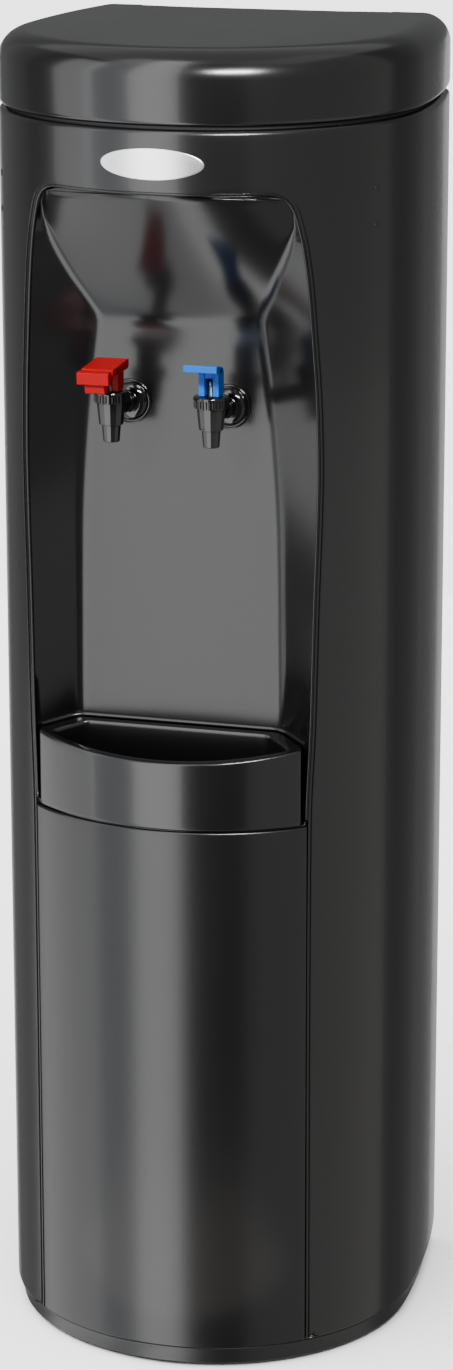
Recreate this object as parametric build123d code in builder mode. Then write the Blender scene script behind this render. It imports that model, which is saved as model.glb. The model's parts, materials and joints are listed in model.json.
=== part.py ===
"""Point-of-use water cooler: free-standing cabinet with a hot and a cold tap."""
import os
from math import asin, cos, pi, radians, sin, sqrt

from build123d import *

# Cabinet, millimetres. Depths run from the front of the cabinet to its back.
cabinet_width = 312.0
cabinet_depth = 291.0
cabinet_height = 980.0
side_sweep_radius = 677.0
lever_overhang = 20.0
foot_height = 3.0
foot_radius = 12.0
base_inset = 4.4
base_wall = 2.5
base_rim_z = 14.2
base_floor = 2.5
shell_bottom = 17.0
shell_wall = 2.5
shell_top = 925.3
cover_bottom = 927.3
cover_wall = 2.5
cover_round = 21.0
cover_recess_depth = 7.0
cover_recess_half_width = 98.0
slip_gap = 0.3
seam_gap = 0.6
flat_gap = 0.1

# Front opening, the moulded recess behind it and the panel below
opening_half_width = 103.8
panel_top = 421.0
panel_wall = 2.5
opening_top = 882.0
recess_wall = 2.5
recess_floor = 422.0
recess_floor_wall = 2.5
recess_depth = 66.0
recess_back_top = 782.0
recess_back_half_width = 77.6
bead_z = 485.6
bead_radius = 2.2
bead_proud = 1.3
bead_stop = 7.0
flange_width = 7.0

# Drip tray
tray_half_width = 99.2
tray_gap = 0.3
tray_lip = 6.0
tray_front_z = 471.8
tray_slope = 0.2
tray_floor = 3.5
tray_depth = 61.0
tray_wall = 5.0

# Badge and side plugs
badge_length = 75.0
badge_height = 22.0
badge_thickness = 1.2
badge_z = 901.5
plug_radius = 2.2
plug_depth = 86.0
plug_heights = (879.0, 853.0)

# Taps
tap_spacing = 73.8
tap_depth = 22.0
shank_z = 721.4
shank_radius = 6.0
shank_tail = 18.0
barb_length = 10.0
spout_z = 701.0
spout_top_z = 713.0
spout_radius_low = 6.2
spout_radius_high = 7.2
barrel_top_z = 729.0
barrel_radius_low = 8.6
barrel_radius_high = 10.2
barrel_bore = 6.6
spout_bore = 3.6
seat_z = 713.6
bonnet_radius = 12.9
bonnet_height = 8.5
bonnet_wall = 1.6
escutcheon_radius = 16.3
escutcheon_height = 5.5
nut_across_flats = 19.0
nut_height = 6.0
stem_radius = 2.5
seat_cup_radius = 5.2
seat_cup_height = 5.0
stem_collar_radius = 4.8
stem_collar_height = 1.2
spring_wire = 0.45
spring_radius = 3.6
spring_turns = 4
pivot_rise = 8.6
pin_radius = 1.25
running_gap = 0.05
yoke_width = 15.0
yoke_length = 13.0
yoke_rise = 10.0
stem_slot = 5.8
paddle_width = 25.0
paddle_thickness = 5.4
cold_paddle_tip = 27.5
cold_paddle_tilt = 11.0
cold_lever_top_z = 764.0
hot_paddle_width = 23.7
hot_paddle_top_z = 760.0
hot_paddle_back = 4.6
hot_paddle_front = 31.0
latch_front = 42.0
latch_lip_height = 9.3
latch_skirt_width = 15.0
latch_skirt_height = 7.0
latch_travel = 4.0
latch_tongue = 3.0

# Rear panel, condenser and things mounted at the back
rear_web_depth = 261.0
rear_sheet = 1.2
rear_half_width = 99.0
rear_lip = 12.0
rear_bottom_z = 30.0
rear_top_z = 926.8
rear_lip_top = 913.0
condenser_tube_radius = 2.5
condenser_depth = 274.0
condenser_half_width = 88.0
condenser_bottom_z = 330.0
condenser_runs = 13
condenser_pitch = 45.0
condenser_wire_radius = 0.8
condenser_wire_count = 12
condenser_wire_spacing = 12.0
condenser_lead = 36.0
bend_radius = 12.0
screw_radius = 2.0
screw_head_radius = 3.8
screw_length = 9.0
screw_heights = (60.0, 470.0, 880.0)
screw_half_spacing = 107.0
inlet_x = 40.0
inlet_z = 240.0
inlet_bore = 3.2
inlet_radius = 8.0
inlet_length = 26.0
controls_z = 70.0
power_x = 50.0
switch_x = 0.0
dial_x = -45.0
power_flange = (46.0, 26.0)
power_socket = (27.0, 19.5)
rocker_radius = 8.0
rocker_width = 9.0
rocker_tilt = 12.0
dial_radius = 13.0
dial_height = 12.0
dial_shaft_radius = 3.0

# Frame inside the cabinet
upright_x = 112.0
upright_width = 18.0
upright_length = 40.0
upright_sheet = 1.5
frame_depth = 165.0
shelf_z = 750.0
shelf_sheet = 1.5
shelf_front = 76.0
shelf_back = 240.0
hot_shelf_z = 452.0
hot_shelf_front = 100.0
hot_shelf_back = 213.0

# Cold reservoir
reservoir_radius = 68.0
reservoir_wall = 0.8
reservoir_height = 126.0
foam_radius = 90.0
foam_floor = 15.0
coil_tube_radius = 3.175
coil_turns = 5.5
coil_pitch = 15.0
coil_lift = 16.0
foam_clearance = 0.5
reservoir_lid = 3.0
stub_radius = 4.5
stub_bore = 3.5
valve_x = 28.0
valve_stem_radius = 7.0
valve_spout_rise = 20.0
float_radius = 17.0
float_arm_length = 50.0
float_arm_radius = 2.0
float_drop = 25.0

# Hot tank
hot_radius = 52.0
hot_wall = 1.0
hot_height = 180.0
jacket_radius = 70.0
jacket_floor = 12.0
band_height = 40.0
band_thickness = 2.0

# Refrigeration
compressor_radius = 60.0
compressor_flange = 64.0
compressor_height = 140.0
compressor_plate_z = 16.0
compressor_plate = (176.0, 116.0, 3.0)
mount_spacing = (146.0, 86.0)
suction_z = 125.0
discharge_z = 62.0
drier_radius = 9.5
drier_length = 95.0
drier_top_z = 300.0
water_tube_radius = 5.0
water_tube_bore = 3.4
feed_side_x = -84.0
line_gap = 0.05

# Derived places
half_width = cabinet_width / 2
front_y = lever_overhang - (cabinet_depth + lever_overhang) / 2
tap_x = tap_spacing / 2
bonnet_top_z = barrel_top_z + bonnet_height
pivot_z = bonnet_top_z + pivot_rise
reservoir_z = shelf_z + shelf_sheet + foam_floor + slip_gap
foam_top_z = reservoir_z + reservoir_height + 4
lid_top_z = foam_top_z + reservoir_lid
coil_radius = reservoir_radius + slip_gap + coil_tube_radius
foam_bore = coil_radius + coil_tube_radius + foam_clearance
coil_bottom_z = reservoir_z + coil_lift
coil_top_z = coil_bottom_z + coil_turns * coil_pitch
pan_z = foot_height + base_floor
hot_tank_z = hot_shelf_z + shelf_sheet + jacket_floor + slip_gap
condenser_top_z = condenser_bottom_z + (condenser_runs - 1) * condenser_pitch
compressor_z = compressor_plate_z + compressor_plate[2]
controls_depth = rear_web_depth + rear_sheet
bare_line_depth = rear_web_depth - 9

os.makedirs("parts", exist_ok=True)


def finish(part, name):
    """Label a finished piece and write its STEP file."""
    part.label = name
    export_step(part, f"parts/{name}.step")


def y_at(depth):
    """Y of a depth measured back from the cabinet's front."""
    return front_y + depth


def surface_depth(x):
    """Depth of the cabinet's round front at a distance from its middle."""
    return half_width - sqrt(half_width**2 - x**2)


def plan_face(inset, z):
    """Cabinet outline seen from above, drawn inwards by the inset."""
    round_radius = half_width - inset
    sweep_radius = side_sweep_radius - inset
    centre_y = y_at(half_width)
    sweep_x = half_width - side_sweep_radius
    back_y = y_at(cabinet_depth - inset)
    back_angle = asin((back_y - centre_y) / sweep_radius)
    side = (round_radius, centre_y)
    side_middle = (sweep_x + sweep_radius * cos(back_angle / 2),
                   centre_y + sweep_radius * sin(back_angle / 2))
    corner = (sweep_x + sweep_radius * cos(back_angle), back_y)
    with BuildSketch(Plane.XY.offset(z)) as plan:
        with BuildLine():
            ThreePointArc((-side[0], side[1]), (0, centre_y - round_radius), side)
            ThreePointArc(side, side_middle, corner)
            ThreePointArc((-side[0], side[1]), (-side_middle[0], side_middle[1]), (-corner[0], back_y))
            Line(corner, (-corner[0], back_y))
        make_face()
    return plan.sketch


def upright_plane(x, y):
    """Plane through a vertical axis, for profiles given as radius and height."""
    return Plane(origin=(x, y, 0), x_dir=(1, 0, 0), z_dir=(0, -1, 0))


def level_plane(x, y, z):
    """Plane through an axis that runs backwards, for radius and distance."""
    return Plane(origin=(x, y, z), x_dir=(1, 0, 0), z_dir=(0, 0, 1))


def profile_face(points, plane):
    """Closed polygon on a plane."""
    with BuildSketch(plane) as profile:
        with BuildLine():
            Polyline(*points, close=True)
        make_face()
    return profile.sketch


def block(x_span, y_span, z_span):
    """Box between two corners, as a private solid."""
    size = [span[1] - span[0] for span in (x_span, y_span, z_span)]
    middle = [(span[1] + span[0]) / 2 for span in (x_span, y_span, z_span)]
    return Pos(*middle) * Box(*size, mode=Mode.PRIVATE)


def rod(x, y, z, radius, length, direction):
    """Round bar from a point along a direction, as a private solid."""
    plane = Plane(origin=(x, y, z), z_dir=direction)
    align = (Align.CENTER, Align.CENTER, Align.MIN)
    return plane * Cylinder(radius, length, align=align, mode=Mode.PRIVATE)


def tube_along(points, radii, outer, bore):
    """Hollow round tube along straight runs joined by arcs."""
    with BuildPart() as tube:
        with BuildLine() as route:
            FilletPolyline(*points, radius=radii)
        path = route.wires()[0]
        with BuildSketch(Plane(origin=path @ 0, z_dir=path % 0)):
            Circle(outer)
            if bore > 0:
                Circle(bore, mode=Mode.SUBTRACT)
        sweep(path=path)
    length = path.length
    section = pi * (outer**2 - bore**2)
    print(f"tube length {length:.1f} volume ratio {tube.part.volume / (section * length):.4f}")
    return tube.part


def recess_side(z):
    """Front half width, back half width and back depth of the recess at a height."""
    outline = ((0, opening_half_width), (panel_top, opening_half_width), (498, 106.6), (585, 108.2),
               (640, 109.6), (680, 110.1), (735, 108.8), (782, 106.3), (816, 103.8), (843, 100.7),
               (862, 96.4), (875, 91.0), (opening_top, 85.0))
    back = ((0, recess_back_half_width), (560, recess_back_half_width), (645, 75.0), (700, 71.0),
            (740, 67.0), (recess_back_top, 61.8))
    front_x = interpolate(outline, z)
    if z <= recess_back_top:
        return front_x, interpolate(back, z), recess_depth
    corner_z = 862.0
    share = min(1.0, (z - recess_back_top) / (corner_z - recess_back_top))
    corner_x = interpolate(outline, corner_z)
    crease_x = 61.8 + share * (corner_x - 61.8)
    crease_depth = recess_depth + share * (surface_depth(corner_x) + 2 - recess_depth)
    if z > corner_z:
        crease_x = front_x
    return front_x, min(crease_x, front_x - 1.0), max(crease_depth, surface_depth(front_x) + 2)


def interpolate(table, z):
    """Straight-line value between neighbouring heights."""
    for low, high in zip(table, table[1:]):
        if z <= high[0]:
            return low[1] + (high[1] - low[1]) * (z - low[0]) / (high[0] - low[0])
    return table[-1][1]


def opening_face(grow, low_z):
    """Front opening of the cabinet as seen from the front, grown by a margin."""
    heights = (640, 735, 816)
    bulge = [(recess_side(z)[0] + grow, z) for z in heights]
    corner = [(recess_side(z)[0] + grow, z + grow * share) for z, share in ((862, 0.3), (875, 0.7))]
    top = (recess_side(opening_top)[0], opening_top + grow)
    foot = (opening_half_width + grow, panel_top)
    with BuildSketch(Plane.XZ.offset(-y_at(-10))) as opening:
        with BuildLine():
            Line((0, low_z), (foot[0], low_z))
            Line((foot[0], low_z), foot)
            Spline(foot, *bulge, corner[0])
            ThreePointArc(corner[0], corner[1], top)
            Line(top, (0, top[1]))
            Line((0, top[1]), (0, low_z))
        make_face()
        mirror(about=Plane.YZ)
    return opening.sketch


def recess_section(z, margin, front):
    """Level cut through the recess at a height, grown outwards by a margin."""
    front_x, back_x, back_depth = recess_side(z)
    start = surface_depth(front_x) + shell_wall * 1.35
    back_depth = max(back_depth, start + 0.5)
    share = max(0.0, (z - recess_back_top) / (opening_top - recess_back_top))
    middle_depth = recess_depth * (1 - share) + margin + 0.02
    outer = (front_x + margin * 1.3, y_at(start))
    inner = (back_x + margin * 0.5, y_at(back_depth + margin))
    with BuildSketch(Plane.XY.offset(z)) as section:
        with BuildLine():
            Line((-outer[0], y_at(front)), (outer[0], y_at(front)))
            Line((outer[0], y_at(front)), outer)
            Line(outer, inner)
            ThreePointArc(inner, (0, y_at(middle_depth)), (-inner[0], inner[1]))
            Line((-inner[0], inner[1]), (-outer[0], outer[1]))
            Line((-outer[0], outer[1]), (-outer[0], y_at(front)))
        make_face()
    return section.sketch


def make_base():
    with BuildPart() as base_plinth:
        extrude(plan_face(base_inset, foot_height), amount=base_rim_z - foot_height)
        extrude(plan_face(1.2, base_rim_z), amount=shell_bottom - base_rim_z)
        extrude(plan_face(shell_wall + slip_gap, shell_bottom), amount=12)
        inner_inset = base_inset + base_wall
        extrude(plan_face(inner_inset, pan_z), amount=shell_bottom + 13 - pan_z, mode=Mode.SUBTRACT)
        with Locations((0, y_at(frame_depth), foot_height)):
            with GridLocations(mount_spacing[0], mount_spacing[1], 2, 2):
                Cylinder(3.2, 20, mode=Mode.SUBTRACT)
    finish(base_plinth.part, "base_plinth")
    with BuildPart() as foot_pads:
        with Locations((0, y_at(160), 0)):
            with GridLocations(210, 170, 2, 2):
                Cylinder(foot_radius, foot_height, align=(Align.CENTER, Align.CENTER, Align.MIN))
    finish(foot_pads.part, "foot_pads")


def make_body_shell():
    height = shell_top - shell_bottom
    with BuildPart() as body_shell:
        extrude(plan_face(0, shell_bottom), amount=height)
        chamfer(body_shell.faces().sort_by(Axis.Z)[-1].edges(), 0.8)
        extrude(plan_face(shell_wall, shell_bottom), amount=height, mode=Mode.SUBTRACT)
        extrude(opening_face(0, shell_bottom - 1), amount=-110, mode=Mode.SUBTRACT)
        add(block((-rear_half_width, rear_half_width), (y_at(rear_web_depth), y_at(cabinet_depth + 5)),
                  (shell_bottom - 1, shell_top + 1)), mode=Mode.SUBTRACT)
        for z in screw_heights:
            for side in (-1, 1):
                add(rod(side * screw_half_spacing, y_at(cabinet_depth - 5), z, screw_radius + flat_gap, 10,
                        (0, 1, 0)), mode=Mode.SUBTRACT)
                add(countersink(side * screw_half_spacing, z, flat_gap), mode=Mode.SUBTRACT)
        for z in plug_heights:
            for side in (-1, 1):
                add(rod(0, y_at(plug_depth), z, plug_radius + flat_gap, 170, (side, 0, 0)),
                    mode=Mode.SUBTRACT)
        for side in (-1, 1):
            add(rod(side * 22, y_at(-1), badge_z, 1.6, 20, (0, 1, 0)), mode=Mode.SUBTRACT)
    finish(body_shell.part, "body_shell")


def countersink(x, z, gap):
    """Cone of a flat screw head that ends flush with the cabinet's back."""
    cone = Cone(screw_radius, screw_head_radius + gap, shell_wall - 0.4 + gap, mode=Mode.PRIVATE)
    return Plane(origin=(x, y_at(cabinet_depth - (shell_wall - 0.4 + gap) / 2), z), z_dir=(0, 1, 0)) * cone


def make_recess():
    heights = (recess_floor, 500, 585, 640, 680, 735, recess_back_top, 816, 843, 862, 875, opening_top)
    flange_low = panel_top - 25
    with BuildPart() as flange:
        extrude(plan_face(shell_wall + flat_gap, flange_low), amount=495)
        extrude(plan_face(shell_wall + flat_gap + 2, flange_low), amount=495, mode=Mode.SUBTRACT)
        extrude(opening_face(flange_width, flange_low), amount=-110, mode=Mode.INTERSECT)
    with BuildPart() as panel_room:
        extrude(opening_face(-0.01, flange_low - 1), amount=-110)
        add(block((-130, 130), (y_at(-20), y_at(120)), (recess_floor - recess_floor_wall, 1000)),
            mode=Mode.SUBTRACT)
    with BuildPart() as recess:
        low = [recess_section(recess_floor - recess_floor_wall, recess_wall, 1.0)]
        cap = [recess_section(opening_top, recess_wall + 1.5, 1.0)]
        loft(low + [recess_section(z, recess_wall, 1.0) for z in heights[:-1]] + cap, ruled=True)
        extrude(plan_face(shell_wall + flat_gap, recess_floor - 3), amount=480, mode=Mode.INTERSECT)
        add(flange.part)
        add(panel_room.part, mode=Mode.SUBTRACT)
        loft([recess_section(z, 0, -12.0) for z in heights], ruled=True, mode=Mode.SUBTRACT)
        extrude(bead_face(), amount=2 * bead_radius)
        for side in (-1, 1):
            add(rod(side * tap_x, y_at(recess_depth - 3), shank_z, shank_radius + flat_gap, 10, (0, 1, 0)),
                mode=Mode.SUBTRACT)
    finish(recess.part, "recess_moulding")


def bead_face():
    """Level band that stands proud of the recess's back and sides, above the tray."""
    front_x, back_x, back_depth = recess_side(bead_z)
    start = surface_depth(front_x) + shell_wall * 1.35
    end_x = front_x - bead_stop
    end_depth = start + bead_stop * (back_depth - start) / (front_x - back_x)
    near = ((end_x, end_depth), (back_x, back_depth), (-back_x, back_depth), (-end_x, end_depth))
    proud = [(x, y_at(depth - bead_proud)) for x, depth in near]
    buried = [(x, y_at(depth + bead_proud)) for x, depth in reversed(near)]
    return profile_face(proud + buried, Plane.XY.offset(bead_z - bead_radius))


def make_front_panel():
    inner = panel_top - shell_bottom - slip_gap
    low = shell_bottom + slip_gap
    edge = opening_half_width - seam_gap
    rib_half = 80.0
    with BuildPart() as ribs:
        for z in (120, 300):
            extrude(plan_face(panel_wall / 2, z), amount=panel_wall)
        rib_back = surface_depth(rib_half) + panel_wall
        add(block((-rib_half, rib_half), (y_at(0), y_at(rib_back)), (100, 320)), mode=Mode.INTERSECT)
    with BuildPart() as lower_front_panel:
        extrude(plan_face(0, low), amount=inner)
        chamfer(lower_front_panel.faces().sort_by(Axis.Z)[-1].edges(), 1.0)
        chamfer(lower_front_panel.faces().sort_by(Axis.Z)[0].edges(), 0.6)
        extrude(plan_face(panel_wall, low), amount=inner, mode=Mode.SUBTRACT)
        add(block((-edge, edge), (y_at(-5), y_at(60)), (low - 1, panel_top + 1)), mode=Mode.INTERSECT)
        add(ribs.part)
    finish(lower_front_panel.part, "lower_front_panel")


def make_tray():
    low = recess_floor + tray_gap
    rear = tray_front_z + tray_slope * tray_depth
    outline = ((tray_half_width, surface_depth(tray_half_width)), (tray_half_width, 41.0), (77.0, tray_depth))
    with BuildPart() as drip_tray:
        with BuildSketch(Plane.XY.offset(low)) as skirt:
            with BuildLine():
                ThreePointArc((-outline[0][0], y_at(outline[0][1])), (0, y_at(0)),
                              (outline[0][0], y_at(outline[0][1])))
                Polyline(*[(x, y_at(d)) for x, d in outline])
                Polyline(*[(-x, y_at(d)) for x, d in outline])
                Line((outline[2][0], y_at(tray_depth)), (-outline[2][0], y_at(tray_depth)))
            make_face()
        extrude(amount=rear - low)
        basin_x = tray_half_width - tray_lip - 5
        front = half_width - sqrt((half_width - tray_lip) ** 2 - basin_x**2)
        corner = (basin_x, front + 3)
        back = (outline[2][0] - 8.5, tray_depth - tray_wall)
        with BuildSketch(Plane.XY.offset(low + tray_floor)):
            with BuildLine():
                ThreePointArc((-basin_x, y_at(front)), (0, y_at(tray_lip)), (basin_x, y_at(front)))
                Polyline((basin_x, y_at(front)), (corner[0], y_at(corner[1])), (back[0], y_at(back[1])))
                Polyline((-basin_x, y_at(front)), (-corner[0], y_at(corner[1])), (-back[0], y_at(back[1])))
                Line((back[0], y_at(back[1])), (-back[0], y_at(back[1])))
            make_face()
        extrude(amount=80, mode=Mode.SUBTRACT)
        slope = profile_face(((y_at(-20), tray_front_z - 20 * tray_slope), (y_at(-20), 600), (y_at(90), 600),
                              (y_at(90), tray_front_z + 90 * tray_slope)), Plane.YZ)
        extrude(slope, amount=150, both=True, mode=Mode.SUBTRACT)
    finish(drip_tray.part, "drip_tray")


def make_cover():
    height = cabinet_height - cover_bottom
    recess = cover_recess_half_width
    recess_y = y_at(cabinet_depth - cover_recess_depth)
    with BuildPart() as hollow:
        extrude(plan_face(cover_wall, cover_bottom), amount=height - cover_wall)
        fillet(round_top_edges(hollow), cover_round - cover_wall)
    with BuildPart() as spigot:
        extrude(plan_face(1.8, shell_top), amount=4)
        extrude(plan_face(shell_wall + slip_gap, shell_top - 11), amount=11)
        extrude(plan_face(5.2, shell_top - 12), amount=20, mode=Mode.SUBTRACT)
        add(block((-recess - 5, recess + 5), (y_at(rear_web_depth), y_at(cabinet_depth + 5)),
                  (shell_top - 20, shell_top + 20)), mode=Mode.SUBTRACT)
    with BuildPart() as top_cover:
        extrude(plan_face(0, cover_bottom), amount=height)
        fillet(round_top_edges(top_cover), cover_round)
        add(hollow.part, mode=Mode.SUBTRACT)
        add(block((-recess - cover_wall, recess + cover_wall), (recess_y - cover_wall, y_at(cabinet_depth)),
                  (cover_bottom, cabinet_height - cover_wall + 0.5)))
        add(block((-recess, recess), (recess_y, y_at(cabinet_depth + 5)), (cover_bottom - 1,
                                                                           cabinet_height + 1)),
            mode=Mode.SUBTRACT)
        add(spigot.part)
    finish(top_cover.part, "top_cover")


def round_top_edges(builder):
    """Edges of the top face, apart from the straight one at the back."""
    edges = builder.faces().sort_by(Axis.Z)[-1].edges()
    return edges.filter_by(lambda edge: edge.geom_type != GeomType.LINE)


def make_badge():
    with BuildPart() as badge_plate:
        with BuildSketch(Plane.XZ.offset(-y_at(-3))):
            with Locations((0, badge_z)):
                Ellipse(badge_length / 2, badge_height / 2)
        extrude(amount=-30)
        extrude(plan_face(-badge_thickness, badge_z - 20), amount=40, mode=Mode.INTERSECT)
        extrude(plan_face(0, badge_z - 20), amount=40, mode=Mode.SUBTRACT)
        for side in (-1, 1):
            post = rod(side * 22, y_at(surface_depth(22) - 0.5), badge_z, 1.5, 4, (0, 1, 0))
            add(post)
    finish(badge_plate.part, "badge_plate")


def make_plugs():
    with BuildPart() as side_plugs:
        for z in plug_heights:
            for side in (-1, 1):
                surface_x = sqrt(half_width**2 - (half_width - plug_depth) ** 2)
                add(rod(side * (surface_x - 5), y_at(plug_depth), z, plug_radius, 6.5, (side, 0, 0)))
        extrude(plan_face(-0.3, plug_heights[1] - 10), amount=60, mode=Mode.INTERSECT)
    finish(side_plugs.part, "side_plugs")


def make_rear_panel():
    web = y_at(rear_web_depth)
    lip_y = y_at(cabinet_depth - shell_wall)
    half = rear_half_width
    wall = half - slip_gap
    span = (rear_bottom_z, rear_top_z)
    cover_back = y_at(cabinet_depth - cover_recess_depth)
    with BuildPart() as rear_panel:
        add(block((-wall, wall), (web, cover_back), (rear_top_z - rear_sheet, rear_top_z)))
        add(block((-wall, wall), (web, web + rear_sheet), span))
        for side in (-1, 1):
            inner, outer = sorted((side * wall, side * (wall - rear_sheet)))
            add(block((inner, outer), (web, lip_y - flat_gap), span))
            inner, outer = sorted((side * wall, side * (half + rear_lip)))
            add(block((inner, outer), (lip_y - flat_gap - rear_sheet, lip_y - flat_gap),
                      (rear_bottom_z, rear_lip_top)))
            for z in screw_heights:
                add(rod(side * screw_half_spacing, lip_y - 5, z, screw_radius + flat_gap, 10, (0, 1, 0)),
                    mode=Mode.SUBTRACT)
        tab_y = y_at(condenser_depth) - condenser_tube_radius - 2 * condenser_wire_radius - 2 * line_gap
        for x in (-60, 60):
            for z in (condenser_bottom_z + 60, condenser_top_z - 60):
                add(block((x - 9, x + 9), (web + rear_sheet, tab_y - line_gap), (z - 5, z + 5)))
        for x, z in ((-condenser_half_width, condenser_bottom_z), (condenser_half_width, condenser_top_z)):
            add(rod(x, web - 5, z, condenser_tube_radius + 0.5, 20, (0, 1, 0)), mode=Mode.SUBTRACT)
        add(rod(inlet_x, web - 5, inlet_z, inlet_radius - 1.5 + flat_gap, 20, (0, 1, 0)), mode=Mode.SUBTRACT)
        add(rod(dial_x, web - 5, controls_z, dial_shaft_radius + 1, 20, (0, 1, 0)), mode=Mode.SUBTRACT)
        socket = (power_socket[0] / 2 + 1.5 + flat_gap, power_socket[1] / 2 + 1.5 + flat_gap)
        add(block((power_x - socket[0], power_x + socket[0]), (web - 5, web + 5),
                  (controls_z - socket[1], controls_z + socket[1])), mode=Mode.SUBTRACT)
        switch = (rocker_width / 2 + 1.5 + flat_gap, rocker_radius + 2 + flat_gap)
        add(block((switch_x - switch[0], switch_x + switch[0]), (web - 5, web + 5),
                  (controls_z - switch[1], controls_z + switch[1])), mode=Mode.SUBTRACT)
        for column in range(-2, 3):
            for row in range(5):
                slot = ((column * 30 - 9, column * 30 + 9), (web - 5, web + 5),
                        (150 + row * 12, 154 + row * 12))
                add(block(*slot), mode=Mode.SUBTRACT)
    finish(rear_panel.part, "rear_panel")


def make_condenser():
    turn = condenser_pitch / 2 - 0.2
    x = condenser_half_width
    depth = y_at(condenser_depth)
    inside = depth - condenser_lead - 8
    points = [(-x, inside, drier_top_z), (-x, inside, condenser_bottom_z), (-x, depth, condenser_bottom_z)]
    radii = [bend_radius, bend_radius]
    for run in range(condenser_runs):
        z = condenser_bottom_z + run * condenser_pitch
        end = x if run % 2 == 0 else -x
        if run > 0:
            points.append((-end, depth, z))
            radii.append(turn)
        points.append((end, depth, z))
        radii.append(turn if run < condenser_runs - 1 else bend_radius)
    points.append((x, depth - condenser_lead, condenser_top_z))
    tube = tube_along(points, radii, condenser_tube_radius, condenser_tube_radius - 0.7)
    finish(tube, "condenser_tube")
    low = condenser_bottom_z - 12
    length = condenser_top_z + 12 - low
    offset = condenser_tube_radius + condenser_wire_radius + line_gap
    middle = (condenser_wire_count - 1) / 2
    with BuildPart() as condenser_wires:
        for index in range(condenser_wire_count):
            for side in (-1, 1):
                wire_x = (index - middle) * condenser_wire_spacing
                add(rod(wire_x, depth + side * offset, low, condenser_wire_radius, length, (0, 0, 1)))
    finish(condenser_wires.part, "condenser_wires")


def make_screws():
    with BuildPart() as cabinet_screws:
        for z in screw_heights:
            for side in (-1, 1):
                x = side * screw_half_spacing
                add(rod(x, y_at(cabinet_depth - 1 - screw_length), z, screw_radius, screw_length, (0, 1, 0)))
                add(countersink(x, z, 0))
                drive = rod(x, y_at(cabinet_depth - 1.2), z, 1.4, 5, (0, 1, 0))
                add(drive, mode=Mode.SUBTRACT)
    finish(cabinet_screws.part, "cabinet_screws")


def make_frame():
    top = shelf_z
    with BuildPart() as frame_uprights:
        for side in (-1, 1):
            near = (y_at(frame_depth - upright_length / 2), y_at(frame_depth + upright_length / 2))
            web = sorted((side * upright_x, side * (upright_x + upright_sheet)))
            span = sorted((side * upright_x, side * (upright_x + upright_width)))
            add(block(web, near, (pan_z, top)))
            for y in near:
                edge = (y, y + upright_sheet) if y == near[0] else (y - upright_sheet, y)
                add(block(span, edge, (pan_z, top)))
            add(block(span, near, (pan_z, pan_z + upright_sheet)))
            add(block(span, near, (top - upright_sheet, top)))
    finish(frame_uprights.part, "frame_uprights")
    lines = ((condenser_half_width, condenser_depth - condenser_lead - 21, 6.0),)
    with BuildPart() as reservoir_shelf:
        half = upright_x + upright_width
        add(block((-half, half), (y_at(shelf_front), y_at(shelf_back)), (shelf_z, shelf_z + shelf_sheet)))
        for x, depth, radius in lines:
            add(rod(x, y_at(depth), shelf_z - 5, radius, 20, (0, 0, 1)), mode=Mode.SUBTRACT)
        for x, depth in stub_places():
            add(rod(x, y_at(depth), shelf_z - 5, stub_radius + 1, 20, (0, 0, 1)), mode=Mode.SUBTRACT)
    finish(reservoir_shelf.part, "reservoir_shelf")
    half = upright_x - slip_gap
    with BuildPart() as hot_tank_shelf:
        level = (y_at(hot_shelf_front), y_at(hot_shelf_back))
        add(block((-half, half), level, (hot_shelf_z, hot_shelf_z + shelf_sheet)))
        for side in (-1, 1):
            flange = sorted((side * half, side * (half - shelf_sheet)))
            add(block(flange, (y_at(frame_depth - 20), y_at(frame_depth + 20)), (hot_shelf_z,
                                                                                 hot_shelf_z + 22)))
        for x, depth in ((0, frame_depth), (feed_side_x, frame_depth + 25)):
            add(rod(x, y_at(depth), hot_shelf_z - 5, stub_radius + 2, 20, (0, 0, 1)), mode=Mode.SUBTRACT)
    finish(hot_tank_shelf.part, "hot_tank_shelf")


def stub_places():
    """Places of the reservoir's two outlets, cold water and feed to the hot tank."""
    return ((tap_x, frame_depth - 15), (-30.0, frame_depth + 25))


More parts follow.
